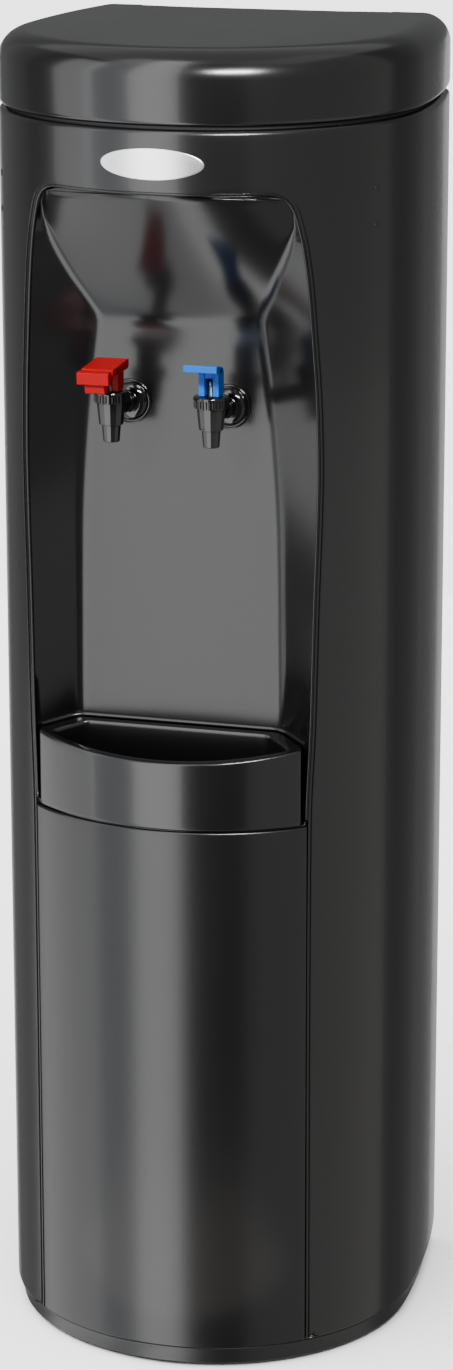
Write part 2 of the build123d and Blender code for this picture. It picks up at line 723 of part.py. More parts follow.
def make_reservoir():
    y = y_at(frame_depth)
    inner = reservoir_radius - reservoir_wall
    top = reservoir_z + reservoir_height
    with BuildPart() as cold_reservoir:
        wall = ((0, reservoir_z), (reservoir_radius, reservoir_z), (reservoir_radius, top), (inner, top),
                (inner, reservoir_z + reservoir_wall), (0, reservoir_z + reservoir_wall))
        revolve(profile_face(wall, upright_plane(0, y)), axis=Axis((0, y, 0), (0, 0, 1)))
        for x, depth in stub_places():
            low = shelf_z - 3
            add(rod(x, y_at(depth), low, stub_radius, reservoir_z - low, (0, 0, 1)))
            add(rod(x, y_at(depth), low - 1, stub_bore, 40, (0, 0, 1)), mode=Mode.SUBTRACT)
    finish(cold_reservoir.part, "cold_reservoir")
    low = shelf_z + shelf_sheet
    with BuildPart() as reservoir_insulation:
        wall = ((0, low), (foam_radius, low), (foam_radius, foam_top_z), (foam_bore, foam_top_z),
                (foam_bore, low + foam_floor), (0, low + foam_floor))
        revolve(profile_face(wall, upright_plane(0, y)), axis=Axis((0, y, 0), (0, 0, 1)))
        for x, depth in stub_places():
            add(rod(x, y_at(depth), low - 1, stub_radius + 0.5, 40, (0, 0, 1)), mode=Mode.SUBTRACT)
        for x, z in ((-coil_radius, coil_bottom_z), (coil_radius, coil_top_z)):
            add(rod(x, y, z, coil_tube_radius + 3, foam_radius + 10, (0, 1, 0)), mode=Mode.SUBTRACT)
    finish(reservoir_insulation.part, "reservoir_insulation")
    with BuildPart() as cover_disc:
        skirt = inner - 1.0
        disc = ((0, foam_top_z), (0, foam_top_z + reservoir_lid), (foam_radius, foam_top_z + reservoir_lid),
                (foam_radius, foam_top_z), (skirt, foam_top_z), (skirt, foam_top_z - 6), (skirt - 2,
                                                                                          foam_top_z - 6),
                (skirt - 2, foam_top_z))
        revolve(profile_face(disc, upright_plane(0, y)), axis=Axis((0, y, 0), (0, 0, 1)))
        add(rod(valve_x, y, foam_top_z - 5, valve_stem_radius + flat_gap, 20, (0, 0, 1)), mode=Mode.SUBTRACT)
    finish(cover_disc.part, "reservoir_lid")
    make_float(y)


def make_coil():
    y = y_at(frame_depth)
    rise = coil_turns * coil_pitch
    slope = coil_pitch / (2 * pi * coil_radius)
    tail = 50.0
    with BuildPart() as evaporator_coil:
        with BuildLine() as route:
            Helix(pitch=coil_pitch, height=rise, radius=coil_radius, center=(0, y, coil_bottom_z))
        helix = route.wires()[0].rotate(Axis((0, y, 0), (0, 0, 1)), 180)
        start, end = helix @ 0, helix @ 1
        with BuildLine() as whole:
            add(helix)
            Line(start, start - (helix % 0) * tail)
            Line(end, end + (helix % 1) * tail)
        path = whole.wires()[0]
        with BuildSketch(Plane(origin=path @ 0, z_dir=path % 0)):
            Circle(coil_tube_radius)
            Circle(coil_tube_radius - 0.8, mode=Mode.SUBTRACT)
        sweep(path=path, is_frenet=False)
    tube = pi * (coil_tube_radius**2 - (coil_tube_radius - 0.8) ** 2) * path.length
    print(f"coil volume ratio {evaporator_coil.part.volume / tube:.4f} slope {slope:.4f}")
    finish(evaporator_coil.part, "evaporator_coil")
    return path


def float_pivot(y):
    """Pivot of the float arm inside the reservoir."""
    return valve_x, y, foam_top_z - 20


def make_float(y):
    pivot_x, pivot_y, pivot_height = float_pivot(y)
    with BuildPart() as float_valve:
        add(rod(valve_x, y, foam_top_z - 12, valve_stem_radius, reservoir_lid + 30, (0, 0, 1)))
        add(rod(valve_x, y, lid_top_z, 11, 4, (0, 0, 1)))
        add(rod(valve_x, y, lid_top_z + valve_spout_rise, water_tube_radius, 20, (0, 1, 0)))
        add(rod(valve_x, y + 5, lid_top_z + valve_spout_rise, 1.5, 20, (0, 1, 0)), mode=Mode.SUBTRACT)
        for side in (-1, 1):
            cheek = sorted((y + side * 3.2, y + side * 6.0))
            add(block((valve_x - 5, valve_x + 5), cheek, (pivot_height - 5, foam_top_z - 10)))
        add(rod(pivot_x, y - 6.0, pivot_height, 1.5, 12, (0, 1, 0)))
    finish(float_valve.part, "float_valve")
    angle = radians(float_drop)
    arm_dir = (-cos(angle), 0, -sin(angle))
    with BuildPart() as float_arm:
        add(rod(pivot_x, pivot_y - 2.6, pivot_height, 4.0, 5.2, (0, 1, 0)))
        add(rod(pivot_x + 3 * arm_dir[0], pivot_y, pivot_height + 3 * arm_dir[2], float_arm_radius,
                float_arm_length - 3, arm_dir))
        centre = (pivot_x + float_arm_length * arm_dir[0], pivot_y,
                  pivot_height + float_arm_length * arm_dir[2])
        add(Pos(*centre) * Sphere(float_radius, mode=Mode.PRIVATE))
        add(rod(pivot_x, pivot_y - 5, pivot_height, 1.5 + running_gap, 10, (0, 1, 0)), mode=Mode.SUBTRACT)
    finish(float_arm.part, "float_arm")


def make_hot_tank():
    y = y_at(frame_depth)
    top = hot_tank_z + hot_height
    outer = ((0, hot_tank_z), (hot_radius - 10, hot_tank_z), (hot_radius, hot_tank_z + 8), (hot_radius,
                                                                                            top - 8),
             (hot_radius - 10, top), (0, top))
    low, high = hot_tank_z + hot_wall, top - hot_wall
    radius = hot_radius - hot_wall
    inner = ((0, low), (radius - 10, low), (radius, low + 8), (radius, high - 8),
             (radius - 10, high), (0, high))
    axis = Axis((0, y, 0), (0, 0, 1))
    with BuildPart() as hot_tank:
        revolve(profile_face(outer, upright_plane(0, y)), axis=axis)
        stubs = ((0.0, frame_depth, hot_tank_z - jacket_floor - 8, hot_tank_z + 2),
                 (-20.0, frame_depth, top - 2, top + jacket_floor + 12))
        for x, depth, bottom, height in stubs:
            add(rod(x, y_at(depth), bottom, stub_radius, height - bottom, (0, 0, 1)))
        revolve(profile_face(inner, upright_plane(0, y)), axis=axis, mode=Mode.SUBTRACT)
        for x, depth, bottom, height in stubs:
            add(rod(x, y_at(depth), bottom - 1, stub_bore, height - bottom + 2, (0, 0, 1)),
                mode=Mode.SUBTRACT)
    finish(hot_tank.part, "hot_tank")
    band_z = hot_tank_z + 34
    band_in = hot_radius + slip_gap
    with BuildPart() as heater_band:
        ring = ((band_in, band_z), (band_in + band_thickness, band_z),
                (band_in + band_thickness, band_z + band_height), (band_in, band_z + band_height))
        revolve(profile_face(ring, upright_plane(0, y)), axis=axis)
    finish(heater_band.part, "heater_band")
    bottom = hot_shelf_z + shelf_sheet
    bore = band_in + band_thickness + slip_gap
    cap = top + slip_gap
    with BuildPart() as hot_tank_jacket:
        foam = ((0, bottom), (jacket_radius, bottom), (jacket_radius, cap + jacket_floor),
                (0, cap + jacket_floor))
        hollow = ((0, bottom + jacket_floor), (bore, bottom + jacket_floor), (bore, cap), (0, cap))
        revolve(profile_face(foam, upright_plane(0, y)), axis=axis)
        revolve(profile_face(hollow, upright_plane(0, y)), axis=axis, mode=Mode.SUBTRACT)
        for x, depth, low_end, high_end in stubs:
            start = low_end - 5 if high_end < top else cap - 5
            add(rod(x, y_at(depth), start, stub_radius + 0.5, jacket_floor + 22, (0, 0, 1)),
                mode=Mode.SUBTRACT)
    finish(hot_tank_jacket.part, "hot_tank_jacket")
    return stubs


def make_compressor():
    y = y_at(frame_depth)
    low = compressor_z
    top = low + compressor_height
    seam = low + compressor_height * 0.5
    radius = compressor_radius
    can = ((0, low), (radius - 6, low), (radius, low + 8), (radius, seam), (compressor_flange, seam),
           (compressor_flange, seam + 4), (radius, seam + 4), (radius, top - 34), (radius - 8, top - 16),
           (radius - 26, top - 4), (radius - 40, top), (0, top))
    with BuildPart() as compressor:
        revolve(profile_face(can, upright_plane(0, y)), axis=Axis((0, y, 0), (0, 0, 1)))
        with Locations((0, y, compressor_plate_z + compressor_plate[2] / 2)):
            Box(*compressor_plate)
        add(rod(30, y, suction_z, coil_tube_radius + 1.2, 68, (0, 1, 0)))
        add(rod(0, y + 15, discharge_z, condenser_tube_radius + 1.2, 74, (1, 0, 0)))
        with Locations((0, y, compressor_plate_z)):
            with GridLocations(mount_spacing[0], mount_spacing[1], 2, 2):
                Cylinder(6.2, 20, mode=Mode.SUBTRACT)
    finish(compressor.part, "compressor")
    spots = [(i * mount_spacing[0] / 2, y + j * mount_spacing[1] / 2) for i in (-1, 1) for j in (-1, 1)]
    plate_top = compressor_plate_z + compressor_plate[2]
    rubber = ((3.2, pan_z), (12, pan_z), (12, compressor_plate_z), (6, compressor_plate_z), (6, plate_top),
              (9, plate_top), (9, plate_top + 5), (3.2, plate_top + 5))
    with BuildPart() as compressor_grommets:
        for x, spot_y in spots:
            revolve(profile_face(rubber, upright_plane(x, spot_y)), axis=Axis((x, spot_y, 0), (0, 0, 1)))
    finish(compressor_grommets.part, "compressor_grommets")
    with BuildPart() as compressor_bolts:
        for x, spot_y in spots:
            add(rod(x, spot_y, foot_height, 3.0, plate_top + 5 - foot_height, (0, 0, 1)))
            with BuildSketch(Plane.XY.offset(plate_top + 5)):
                with Locations((x, spot_y)):
                    RegularPolygon(6.0, 6)
            extrude(amount=5)
    finish(compressor_bolts.part, "compressor_bolts")
    with BuildPart() as terminal_cover:
        add(block((-22, 22), (y - radius - 22, y - radius + 16), (48, 84)))
        add(rod(0, y, 40, radius + slip_gap, 60, (0, 0, 1)), mode=Mode.SUBTRACT)
    finish(terminal_cover.part, "terminal_cover")


def make_lines(coil_path):
    x = condenser_half_width
    back_y = y_at(bare_line_depth)
    coil_start, coil_end = coil_path @ 0, coil_path @ 1
    if coil_start.X > 0:
        coil_start, coil_end = coil_end, coil_start
    suction = ((coil_end.X, coil_end.Y, coil_end.Z), (coil_end.X, back_y, coil_end.Z),
               (coil_end.X, back_y, suction_z), (30, back_y, suction_z), (30, y_at(frame_depth) + 68,
                                                                          suction_z))
    finish(tube_along(suction, [9, bend_radius, 9], coil_tube_radius, coil_tube_radius - 0.8),
           "suction_line")
    top_y = y_at(condenser_depth - condenser_lead)
    port_y = y_at(frame_depth) + 15
    drop_y = top_y - 21
    discharge = ((x, top_y, condenser_top_z), (x, drop_y, condenser_top_z), (x, drop_y, discharge_z),
                 (x, port_y, discharge_z), (74, port_y, discharge_z))
    finish(tube_along(discharge, [bend_radius, bend_radius, 8], condenser_tube_radius,
                      condenser_tube_radius - 0.7), "discharge_line")
    drier_y = y_at(condenser_depth) - condenser_lead - 8
    bottom = drier_top_z - drier_length
    shell = ((0, bottom), (3, bottom), (3, bottom + 6), (drier_radius, bottom + 16),
             (drier_radius, drier_top_z - 16), (3.6, drier_top_z - 6), (3.6, drier_top_z), (0, drier_top_z))
    with BuildPart() as filter_drier:
        revolve(profile_face(shell, upright_plane(-x, drier_y)), axis=Axis((-x, drier_y, 0), (0, 0, 1)))
    finish(filter_drier.part, "filter_drier")
    capillary = ((-x, drier_y, bottom), (-x, drier_y, 170), (coil_start.X, back_y, 170),
                 (coil_start.X, back_y, coil_start.Z), (coil_start.X, coil_start.Y + 8, coil_start.Z))
    thin = tube_along(capillary, [bend_radius, bend_radius, 5], 1.2, 0.4)
    with BuildPart() as capillary_line:
        add(thin)
        add(rod(coil_start.X, coil_start.Y, coil_start.Z, coil_tube_radius, 8.5, (0, 1, 0)))
    finish(capillary_line.part, "capillary_line")


def make_water_tubes(hot_stubs):
    (cold_x, cold_depth), (feed_x, feed_depth) = stub_places()
    stub_end = shelf_z - 3
    tail_y = y_at(recess_depth + recess_wall + shank_tail + barb_length)
    cold = ((cold_x, y_at(cold_depth), stub_end), (tap_x, y_at(cold_depth), shank_z), (tap_x, tail_y,
                                                                                       shank_z))
    finish(tube_along(cold, [20], water_tube_radius, water_tube_bore), "cold_water_tube")
    top = hot_stubs[1][3]
    hot = ((hot_stubs[1][0], y_at(hot_stubs[1][1]), top), (hot_stubs[1][0], y_at(hot_stubs[1][1]), top + 25),
           (-tap_x, y_at(125), shank_z), (-tap_x, tail_y, shank_z))
    finish(tube_along(hot, [18, 18], water_tube_radius, water_tube_bore), "hot_water_tube")
    low = hot_stubs[0][2]
    feed_y = y_at(feed_depth)
    feed = ((feed_x, feed_y, stub_end), (feed_x, feed_y, stub_end - 30), (feed_side_x, feed_y, stub_end - 55),
            (feed_side_x, feed_y, low - 30), (0, y_at(frame_depth), low - 30), (0, y_at(frame_depth), low))
    finish(tube_along(feed, [18, 18, 24, 20], water_tube_radius, water_tube_bore), "hot_feed_tube")
    valve_y = y_at(frame_depth) + 20
    riser_y = y_at(246)
    valve_z = lid_top_z + 20
    start = y_at(rear_web_depth) - 7
    inlet = ((inlet_x, start, inlet_z), (inlet_x, riser_y - 12, inlet_z), (56, riser_y, inlet_z + 60),
             (56, riser_y, valve_z), (28, riser_y, valve_z), (28, valve_y, valve_z))
    finish(tube_along(inlet, [4, 30, 14, 14], 3.1, 2.1), "inlet_tube")


def make_inlet_fitting():
    web = y_at(rear_web_depth)
    with BuildPart() as inlet_fitting:
        add(rod(inlet_x, web - 7, inlet_z, inlet_radius - 1.5, 7 + rear_sheet, (0, 1, 0)))
        add(rod(inlet_x, web + rear_sheet, inlet_z, inlet_radius + 1.5, 4, (0, 1, 0)))
        add(rod(inlet_x, web + rear_sheet + 4, inlet_z, inlet_radius - 1, inlet_length - 8, (0, 1, 0)))
        add(rod(inlet_x, web - 4, inlet_z, inlet_radius + 1.5, 4, (0, 1, 0)))
        add(rod(inlet_x, web - 10, inlet_z, 2.1, 60, (0, 1, 0)), mode=Mode.SUBTRACT)
        add(rod(inlet_x, web + 8, inlet_z, inlet_bore, 60, (0, 1, 0)), mode=Mode.SUBTRACT)
    finish(inlet_fitting.part, "inlet_fitting")


def make_controls():
    face = y_at(controls_depth)
    half_x, half_z = power_socket[0] / 2, power_socket[1] / 2
    with BuildPart() as power_inlet:
        add(block((power_x - power_flange[0] / 2, power_x + power_flange[0] / 2), (face, face + 2.5),
                  (controls_z - power_flange[1] / 2, controls_z + power_flange[1] / 2)))
        add(block((power_x - half_x - 1.5, power_x + half_x + 1.5), (face - 20, face),
                  (controls_z - half_z - 1.5, controls_z + half_z + 1.5)))
        add(block((power_x - half_x, power_x + half_x), (face - 17, face + 5),
                  (controls_z - half_z, controls_z + half_z)), mode=Mode.SUBTRACT)
        for pin_x, pin_z in ((-7, -2), (0, 3), (7, -2)):
            x, z = power_x + pin_x, controls_z + pin_z
            add(block((x - 1, x + 1), (face - 17.5, face - 1), (z - 2.5, z + 2.5)))
    finish(power_inlet.part, "power_inlet")
    pivot_y = face + 0.5
    half_x = rocker_width / 2
    with BuildPart() as switch_housing:
        add(block((switch_x - half_x - 4, switch_x + half_x + 4), (face, face + 2),
                  (controls_z - rocker_radius - 4, controls_z + rocker_radius + 4)))
        add(block((switch_x - half_x - 1.5, switch_x + half_x + 1.5), (face - 16, face),
                  (controls_z - rocker_radius - 2, controls_z + rocker_radius + 2)))
        add(block((switch_x - half_x - 0.2, switch_x + half_x + 0.2), (face - 12, face + 5),
                  (controls_z - rocker_radius - 0.5, controls_z + rocker_radius + 0.5)), mode=Mode.SUBTRACT)
        add(rod(switch_x - half_x - 1, pivot_y - 4, controls_z, 1.0, rocker_width + 2, (1, 0, 0)))
    finish(switch_housing.part, "switch_housing")
    tilt = radians(rocker_tilt)
    reach = rocker_radius - 0.2
    crest = 2.2
    centre_y = pivot_y - 4
    rocker_outline = ((centre_y - 5, -reach * 0.55), (centre_y - 5, reach * 0.55),
                      (centre_y + 3.2, reach * 0.9), (centre_y + crest + 2.2, 0), (centre_y + 3.2,
                                                                                   -reach * 0.9))
    with BuildPart() as hot_switch_rocker:
        plane = Plane(origin=(switch_x - half_x, centre_y, controls_z), x_dir=(0, cos(tilt), sin(tilt)),
                      z_dir=(1, 0, 0))
        turned = [(y - centre_y, z) for y, z in rocker_outline]
        extrude(profile_face(turned, plane), amount=rocker_width)
        add(rod(switch_x - half_x - 1, centre_y, controls_z, 1.0 + running_gap, rocker_width + 2, (1, 0, 0)),
            mode=Mode.SUBTRACT)
    finish(hot_switch_rocker.part, "hot_switch_rocker")
    web = y_at(rear_web_depth)
    with BuildPart() as cold_thermostat:
        add(block((dial_x - 20, dial_x + 20), (web - 30, web - flat_gap), (controls_z - 18, controls_z + 18)))
        add(rod(dial_x, web - flat_gap, controls_z, dial_shaft_radius, rear_sheet + 11, (0, 1, 0)))
    finish(cold_thermostat.part, "cold_thermostat")
    with BuildPart() as thermostat_knob:
        low = face + 0.4
        add(rod(dial_x, low, controls_z, dial_radius + 2, 2.5, (0, 1, 0)))
        add(rod(dial_x, low + 2.5, controls_z, dial_radius - 1.5, dial_height - 2.5, (0, 1, 0)))
        for step in range(10):
            angle = radians(36 * step)
            add(rod(dial_x + (dial_radius - 1.5) * cos(angle), low + 2.5,
                    controls_z + (dial_radius - 1.5) * sin(angle),
                    1.6, dial_height - 2.5, (0, 1, 0)))
        add(rod(dial_x, low - 1, controls_z, dial_shaft_radius + running_gap, 12.2, (0, 1, 0)),
            mode=Mode.SUBTRACT)
        add(block((dial_x - 0.8, dial_x + 0.8), (low + dial_height - 0.8, low + dial_height + 1),
                  (controls_z + 3, controls_z + dial_radius)), mode=Mode.SUBTRACT)
    finish(thermostat_knob.part, "thermostat_knob")


def make_tap(name, x):
    y = y_at(tap_depth)
    axis = Axis((x, y, 0), (0, 0, 1))
    upright = upright_plane(x, y)
    back = y_at(recess_depth + recess_wall)
    with BuildPart() as faucet_body:
        outer = ((0, spout_z), (spout_radius_low, spout_z), (spout_radius_high, spout_top_z),
                 (barrel_radius_low, spout_top_z + 0.6), (barrel_radius_high, barrel_top_z),
                 (0, barrel_top_z))
        revolve(profile_face(outer, upright), axis=axis)
        add(rod(x, y, shank_z, shank_radius, back + shank_tail - y, (0, 1, 0)))
        add(rod(x, back + shank_tail, shank_z, 3.9, barb_length, (0, 1, 0)))
        add(rod(x, y, seat_z, barrel_bore, 60, (0, 0, 1)), mode=Mode.SUBTRACT)
        add(rod(x, y, spout_z - 5, spout_bore, 60, (0, 0, 1)), mode=Mode.SUBTRACT)
        add(rod(x, y, shank_z + 1.5, 2.2, 90, (0, 1, 0)), mode=Mode.SUBTRACT)
    finish(faucet_body.part, f"{name}_faucet_body")
    with BuildPart() as bonnet:
        roof = bonnet_top_z - 2.2
        inside = barrel_radius_high - bonnet_wall
        shape = ((stem_radius + running_gap, bonnet_top_z), (bonnet_radius - 1, bonnet_top_z),
                 (bonnet_radius, bonnet_top_z - 1), (bonnet_radius, barrel_top_z), (inside, barrel_top_z),
                 (inside, roof), (stem_radius + running_gap, roof))
        revolve(profile_face(shape, upright), axis=axis)
        with Locations((x, y, barrel_top_z)):
            with PolarLocations(bonnet_radius + 0.35, 24):
                Cylinder(0.6, bonnet_height - 2.5, align=(Align.CENTER, Align.CENTER, Align.MIN),
                         mode=Mode.SUBTRACT)
    finish(bonnet.part, f"{name}_bonnet")
    collar_z = seat_z + seat_cup_height
    with BuildPart() as stem:
        shape = ((0, collar_z), (stem_collar_radius, collar_z), (stem_collar_radius,
                                                                 collar_z + stem_collar_height),
                 (stem_radius, collar_z + stem_collar_height), (stem_radius, pivot_z + 1.6),
                 (stem_radius - 0.9, pivot_z + 2.5), (0, pivot_z + 2.5))
        revolve(profile_face(shape, upright), axis=axis)
        add(rod(x - 5, y, pivot_z, pin_radius + running_gap, 10, (1, 0, 0)), mode=Mode.SUBTRACT)
    finish(stem.part, f"{name}_stem")
    with BuildPart() as seat_cup:
        shape = ((0, seat_z + flat_gap), (seat_cup_radius - 1.2, seat_z + flat_gap), (seat_cup_radius,
                                                                                      seat_z + 1.5),
                 (seat_cup_radius, collar_z), (0, collar_z))
        revolve(profile_face(shape, upright), axis=axis)
    finish(seat_cup.part, f"{name}_seat_cup")
    with BuildPart() as pin:
        add(rod(x - yoke_width / 2 + 0.4, y, pivot_z, pin_radius, yoke_width - 0.8, (1, 0, 0)))
    finish(pin.part, f"{name}_lever_pin")
    make_spring(name, x, y, collar_z + stem_collar_height + line_gap, bonnet_top_z - 2.2 - line_gap)


def make_spring(name, x, y, low, high):
    bottom = low + spring_wire
    height = high - low - 2 * spring_wire
    with BuildPart() as spring:
        with BuildLine(Plane(origin=(x, y, bottom), z_dir=(0, 0, 1))) as route:
            Helix(pitch=height / spring_turns, height=height, radius=spring_radius)
        coil = route.wires()[0]
        with BuildSketch(Plane(origin=coil @ 0, z_dir=coil % 0)):
            Circle(spring_wire)
        sweep(path=coil, is_frenet=True)
    gap = height / spring_turns - 2 * spring_wire
    print(f"{name} spring gap {gap:.2f}")
    finish(spring.part, f"{name}_spring")


def make_escutcheons():
    wall = y_at(recess_depth)
    bore = shank_radius + flat_gap
    dome = ((bore, -flat_gap), (escutcheon_radius, -flat_gap), (escutcheon_radius, -flat_gap - 1.4),
            (escutcheon_radius - 2.2, -flat_gap - 3.2), (escutcheon_radius - 6, -flat_gap - 4.8),
            (shank_radius + 1.4, -flat_gap - escutcheon_height), (bore, -flat_gap - escutcheon_height))
    with BuildPart() as escutcheons:
        for x in (-tap_x, tap_x):
            turned = profile_face(dome, level_plane(x, wall, shank_z))
            revolve(turned, axis=Axis((x, wall, shank_z), (0, 1, 0)))
    finish(escutcheons.part, "escutcheons")


def make_nuts():
    back = y_at(recess_depth + recess_wall + flat_gap)
    with BuildPart() as faucet_nuts:
        for x in (-tap_x, tap_x):
            with BuildSketch(Plane(origin=(x, back, shank_z), z_dir=(0, 1, 0))):
                RegularPolygon(nut_across_flats / 2, 6, major_radius=False)
                Circle(shank_radius + running_gap, mode=Mode.SUBTRACT)
            extrude(amount=nut_height)
    finish(faucet_nuts.part, "faucet_nuts")


def yoke(x, y):
    """Fork that straddles the stem and pivots on the pin."""
    low = bonnet_top_z + slip_gap
    top = pivot_z + yoke_rise
    half = yoke_length / 2
    outline = ((y - half, low), (y + half, low), (y + half, top - 5), (y + half - 4, top), (y - half, top))
    with BuildPart() as fork:
        extrude(profile_face(outline, Plane.YZ.offset(x - yoke_width / 2)), amount=yoke_width)
    return fork.part


def cut_yoke(x, y):
    """Room for the stem between the fork's cheeks, and the pin's hole."""
    slot = stem_slot / 2
    with BuildPart() as room:
        add(block((x - slot, x + slot), (y - yoke_length, y + 4.4), (bonnet_top_z - 1, pivot_z - 1)))
        add(block((x - slot, x + slot), (y - 4.4, y + 4.4), (pivot_z - 2, pivot_z + 4.4)))
        add(rod(x - yoke_width, y, pivot_z, pin_radius + running_gap, 2 * yoke_width, (1, 0, 0)))
    return room.part


def make_cold_lever():
    x, y = tap_x, y_at(tap_depth)
    rise = sin(radians(cold_paddle_tilt))
    run = cos(radians(cold_paddle_tilt))
    tip_y = y - cold_paddle_tip
    back_y = y + yoke_length / 2 - 4
    length = (back_y - tip_y) / run
    plane = Plane(origin=(x, tip_y, cold_lever_top_z), x_dir=(1, 0, 0), z_dir=(0, rise, run))
    fork, room = yoke(x, y), cut_yoke(x, y)
    with BuildPart() as cold_lever:
        add(fork)
        with BuildSketch(plane):
            with BuildLine():
                half, root = paddle_width / 2, yoke_width / 2
                Line((-half, 0.8), (half, 0.8))
                Spline((half, 0.8), (half - 1.6, 9), (root + 0.2, 19), (root, length))
                Spline((-half, 0.8), (-half + 1.6, 9), (-root - 0.2, 19), (-root, length))
                Line((-root, length), (root, length))
            make_face()
        extrude(amount=-paddle_thickness)
        add(room, mode=Mode.SUBTRACT)
    finish(cold_lever.part, "cold_lever")


def make_hot_lever():
    x, y = -tap_x, y_at(tap_depth)
    top = hot_paddle_top_z
    half = hot_paddle_width / 2
    thickness = paddle_thickness
    drop = 2.2
    outline = ((y + hot_paddle_back, top), (y + hot_paddle_back, top - thickness),
               (y - hot_paddle_front, top - thickness - drop * 0.8), (y - hot_paddle_front, top - drop * 0.8))
    slot = hot_paddle_width - 2 * latch_tongue
    low = top - thickness - drop
    fork, room = yoke(x, y), cut_yoke(x, y)
    with BuildPart() as hot_lever:
        add(fork)
        extrude(profile_face(outline, Plane.YZ.offset(x - half)), amount=2 * half)
        front = y - hot_paddle_front
        tongue = ((front - 1, low - 2), (front + 14, low - 2), (front + 14, top - drop - 1.2),
                  (front - 1, top - drop - 1.8))
        extrude(profile_face(tongue, Plane.YZ.offset(x - slot / 2)), amount=slot, mode=Mode.SUBTRACT)
        add(room, mode=Mode.SUBTRACT)
    finish(hot_lever.part, "hot_lever")
    with BuildPart() as hot_safety_latch:
        nose = y - latch_front
        rear = y - hot_paddle_front - latch_travel - slip_gap
        lip = ((nose, top - drop), (rear, top - drop + 0.4), (rear, top - drop - latch_lip_height),
               (nose, top - drop - latch_lip_height))
        extrude(profile_face(lip, Plane.YZ.offset(x - half)), amount=2 * half)
        skirt = ((nose + 4, top - drop - latch_lip_height + 1), (rear + 5, top - drop - latch_lip_height + 1),
                 (rear + 5, top - drop - latch_lip_height - latch_skirt_height),
                 (nose + 5.5, top - drop - latch_lip_height - latch_skirt_height))
        extrude(profile_face(skirt, Plane.YZ.offset(x - latch_skirt_width / 2)), amount=latch_skirt_width)
        bar_top = top - drop - 2.4
        half_bar = slot / 2 - slip_gap
        bar = ((rear - 1, bar_top), (rear + 9.5, bar_top + 0.3), (rear + 9.5, bar_top - 3.4), (rear - 1,
                                                                                               bar_top - 3.4))
        extrude(profile_face(bar, Plane.YZ.offset(x - half_bar)), amount=2 * half_bar)
    finish(hot_safety_latch.part, "hot_safety_latch")


make_base()
make_body_shell()
make_recess()
make_front_panel()
make_tray()
make_cover()
make_badge()
make_plugs()
make_rear_panel()
make_condenser()
make_screws()
make_frame()
make_reservoir()
coil = make_coil()
hot_stubs = make_hot_tank()
make_compressor()
make_lines(coil)
make_water_tubes(hot_stubs)
make_inlet_fitting()
make_controls()
make_tap("hot", -tap_x)
make_tap("cold", tap_x)
make_escutcheons()
make_nuts()
make_cold_lever()
make_hot_lever()
print("pieces written", len(os.listdir("parts")))
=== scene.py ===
"""Finish and light for a floor-standing water cooler with a hot and a cold tap."""

import json
from math import asin, cos, pi, radians, sin, sqrt, tan

import bmesh
import bpy
from mathutils import Matrix, Vector


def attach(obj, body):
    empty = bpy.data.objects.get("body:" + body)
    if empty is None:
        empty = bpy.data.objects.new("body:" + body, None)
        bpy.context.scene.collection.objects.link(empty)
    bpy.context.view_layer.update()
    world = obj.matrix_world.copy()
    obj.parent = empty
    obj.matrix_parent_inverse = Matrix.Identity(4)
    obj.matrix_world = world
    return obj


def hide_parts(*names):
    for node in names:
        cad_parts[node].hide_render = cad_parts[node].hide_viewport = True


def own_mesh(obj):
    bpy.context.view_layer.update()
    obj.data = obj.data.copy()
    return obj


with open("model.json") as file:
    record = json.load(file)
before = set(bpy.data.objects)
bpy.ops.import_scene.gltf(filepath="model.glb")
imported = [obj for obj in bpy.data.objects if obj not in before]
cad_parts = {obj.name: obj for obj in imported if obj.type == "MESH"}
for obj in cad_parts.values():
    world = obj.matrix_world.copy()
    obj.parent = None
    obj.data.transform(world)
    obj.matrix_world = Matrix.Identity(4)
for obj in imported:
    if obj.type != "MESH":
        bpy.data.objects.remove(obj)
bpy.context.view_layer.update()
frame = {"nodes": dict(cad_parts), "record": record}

MM = 0.001
record = frame["record"]
slot_of = {part["node"]: part["material_slot"] for part in record["subparts"]}
body_of = {node: body for body, nodes in record["behaviour"]["bodies"].items() for node in nodes}

# Sizes in millimetres, in the part's own frame: depths run back from the front, heights up from the floor.
# Cabinet: the front is a half circle, and each side a flat arc of the sweep's radius
HALF_WIDTH = 156.0
DEPTH = 291.0
HEIGHT = 980.0
SWEEP = 677.0
FRONT_Y = -135.5
REAR_CORNER = 4.0
REAR_PANEL_HALF = 99.0

# Wrap, top, badge and lower panel
SHELL_LOW, SHELL_TOP = 17.0, 925.3
SHELL_WALL, MOULDING_WALL = 2.5, 2.2
SHELL_TOP_ROUND = 4.0
COVER_LOW = 927.3
COVER_ROUND, COVER_FOOT_ROUND = 21.0, 4.5
NOTCH_HALF, NOTCH_DEPTH = 98.0, 7.0
STEP_LOW, STEP_TOP, STEP_INSET = 914.0, 929.5, 5.6
BADGE_HALF, BADGE_HALF_HEIGHT, BADGE_Z = 37.5, 11.0, 901.5
PANEL_HALF, PANEL_LOW, PANEL_TOP = 103.2, 17.3, 421.0

# Recess and its opening
OPENING_TOP = 882.0
RECESS_LOW, RECESS_DEPTH, RECESS_INSET = 422.0, 66.0, 2.6
CEILING_LOW, CEILING_TOP = 782.0, 879.5
RECESS_CORNER = 5.5

# Drip tray: its rim rises towards the back
TRAY_HALF, TRAY_BACK_HALF = 99.2, 77.0
TRAY_SIDE_DEPTH, TRAY_BACK_DEPTH = 41.0, 61.0
TRAY_LOW, TRAY_RIM, TRAY_RISE = 422.3, 471.8, 0.2
TRAY_CORNER = 4.0
BASIN_LOW = 430.0

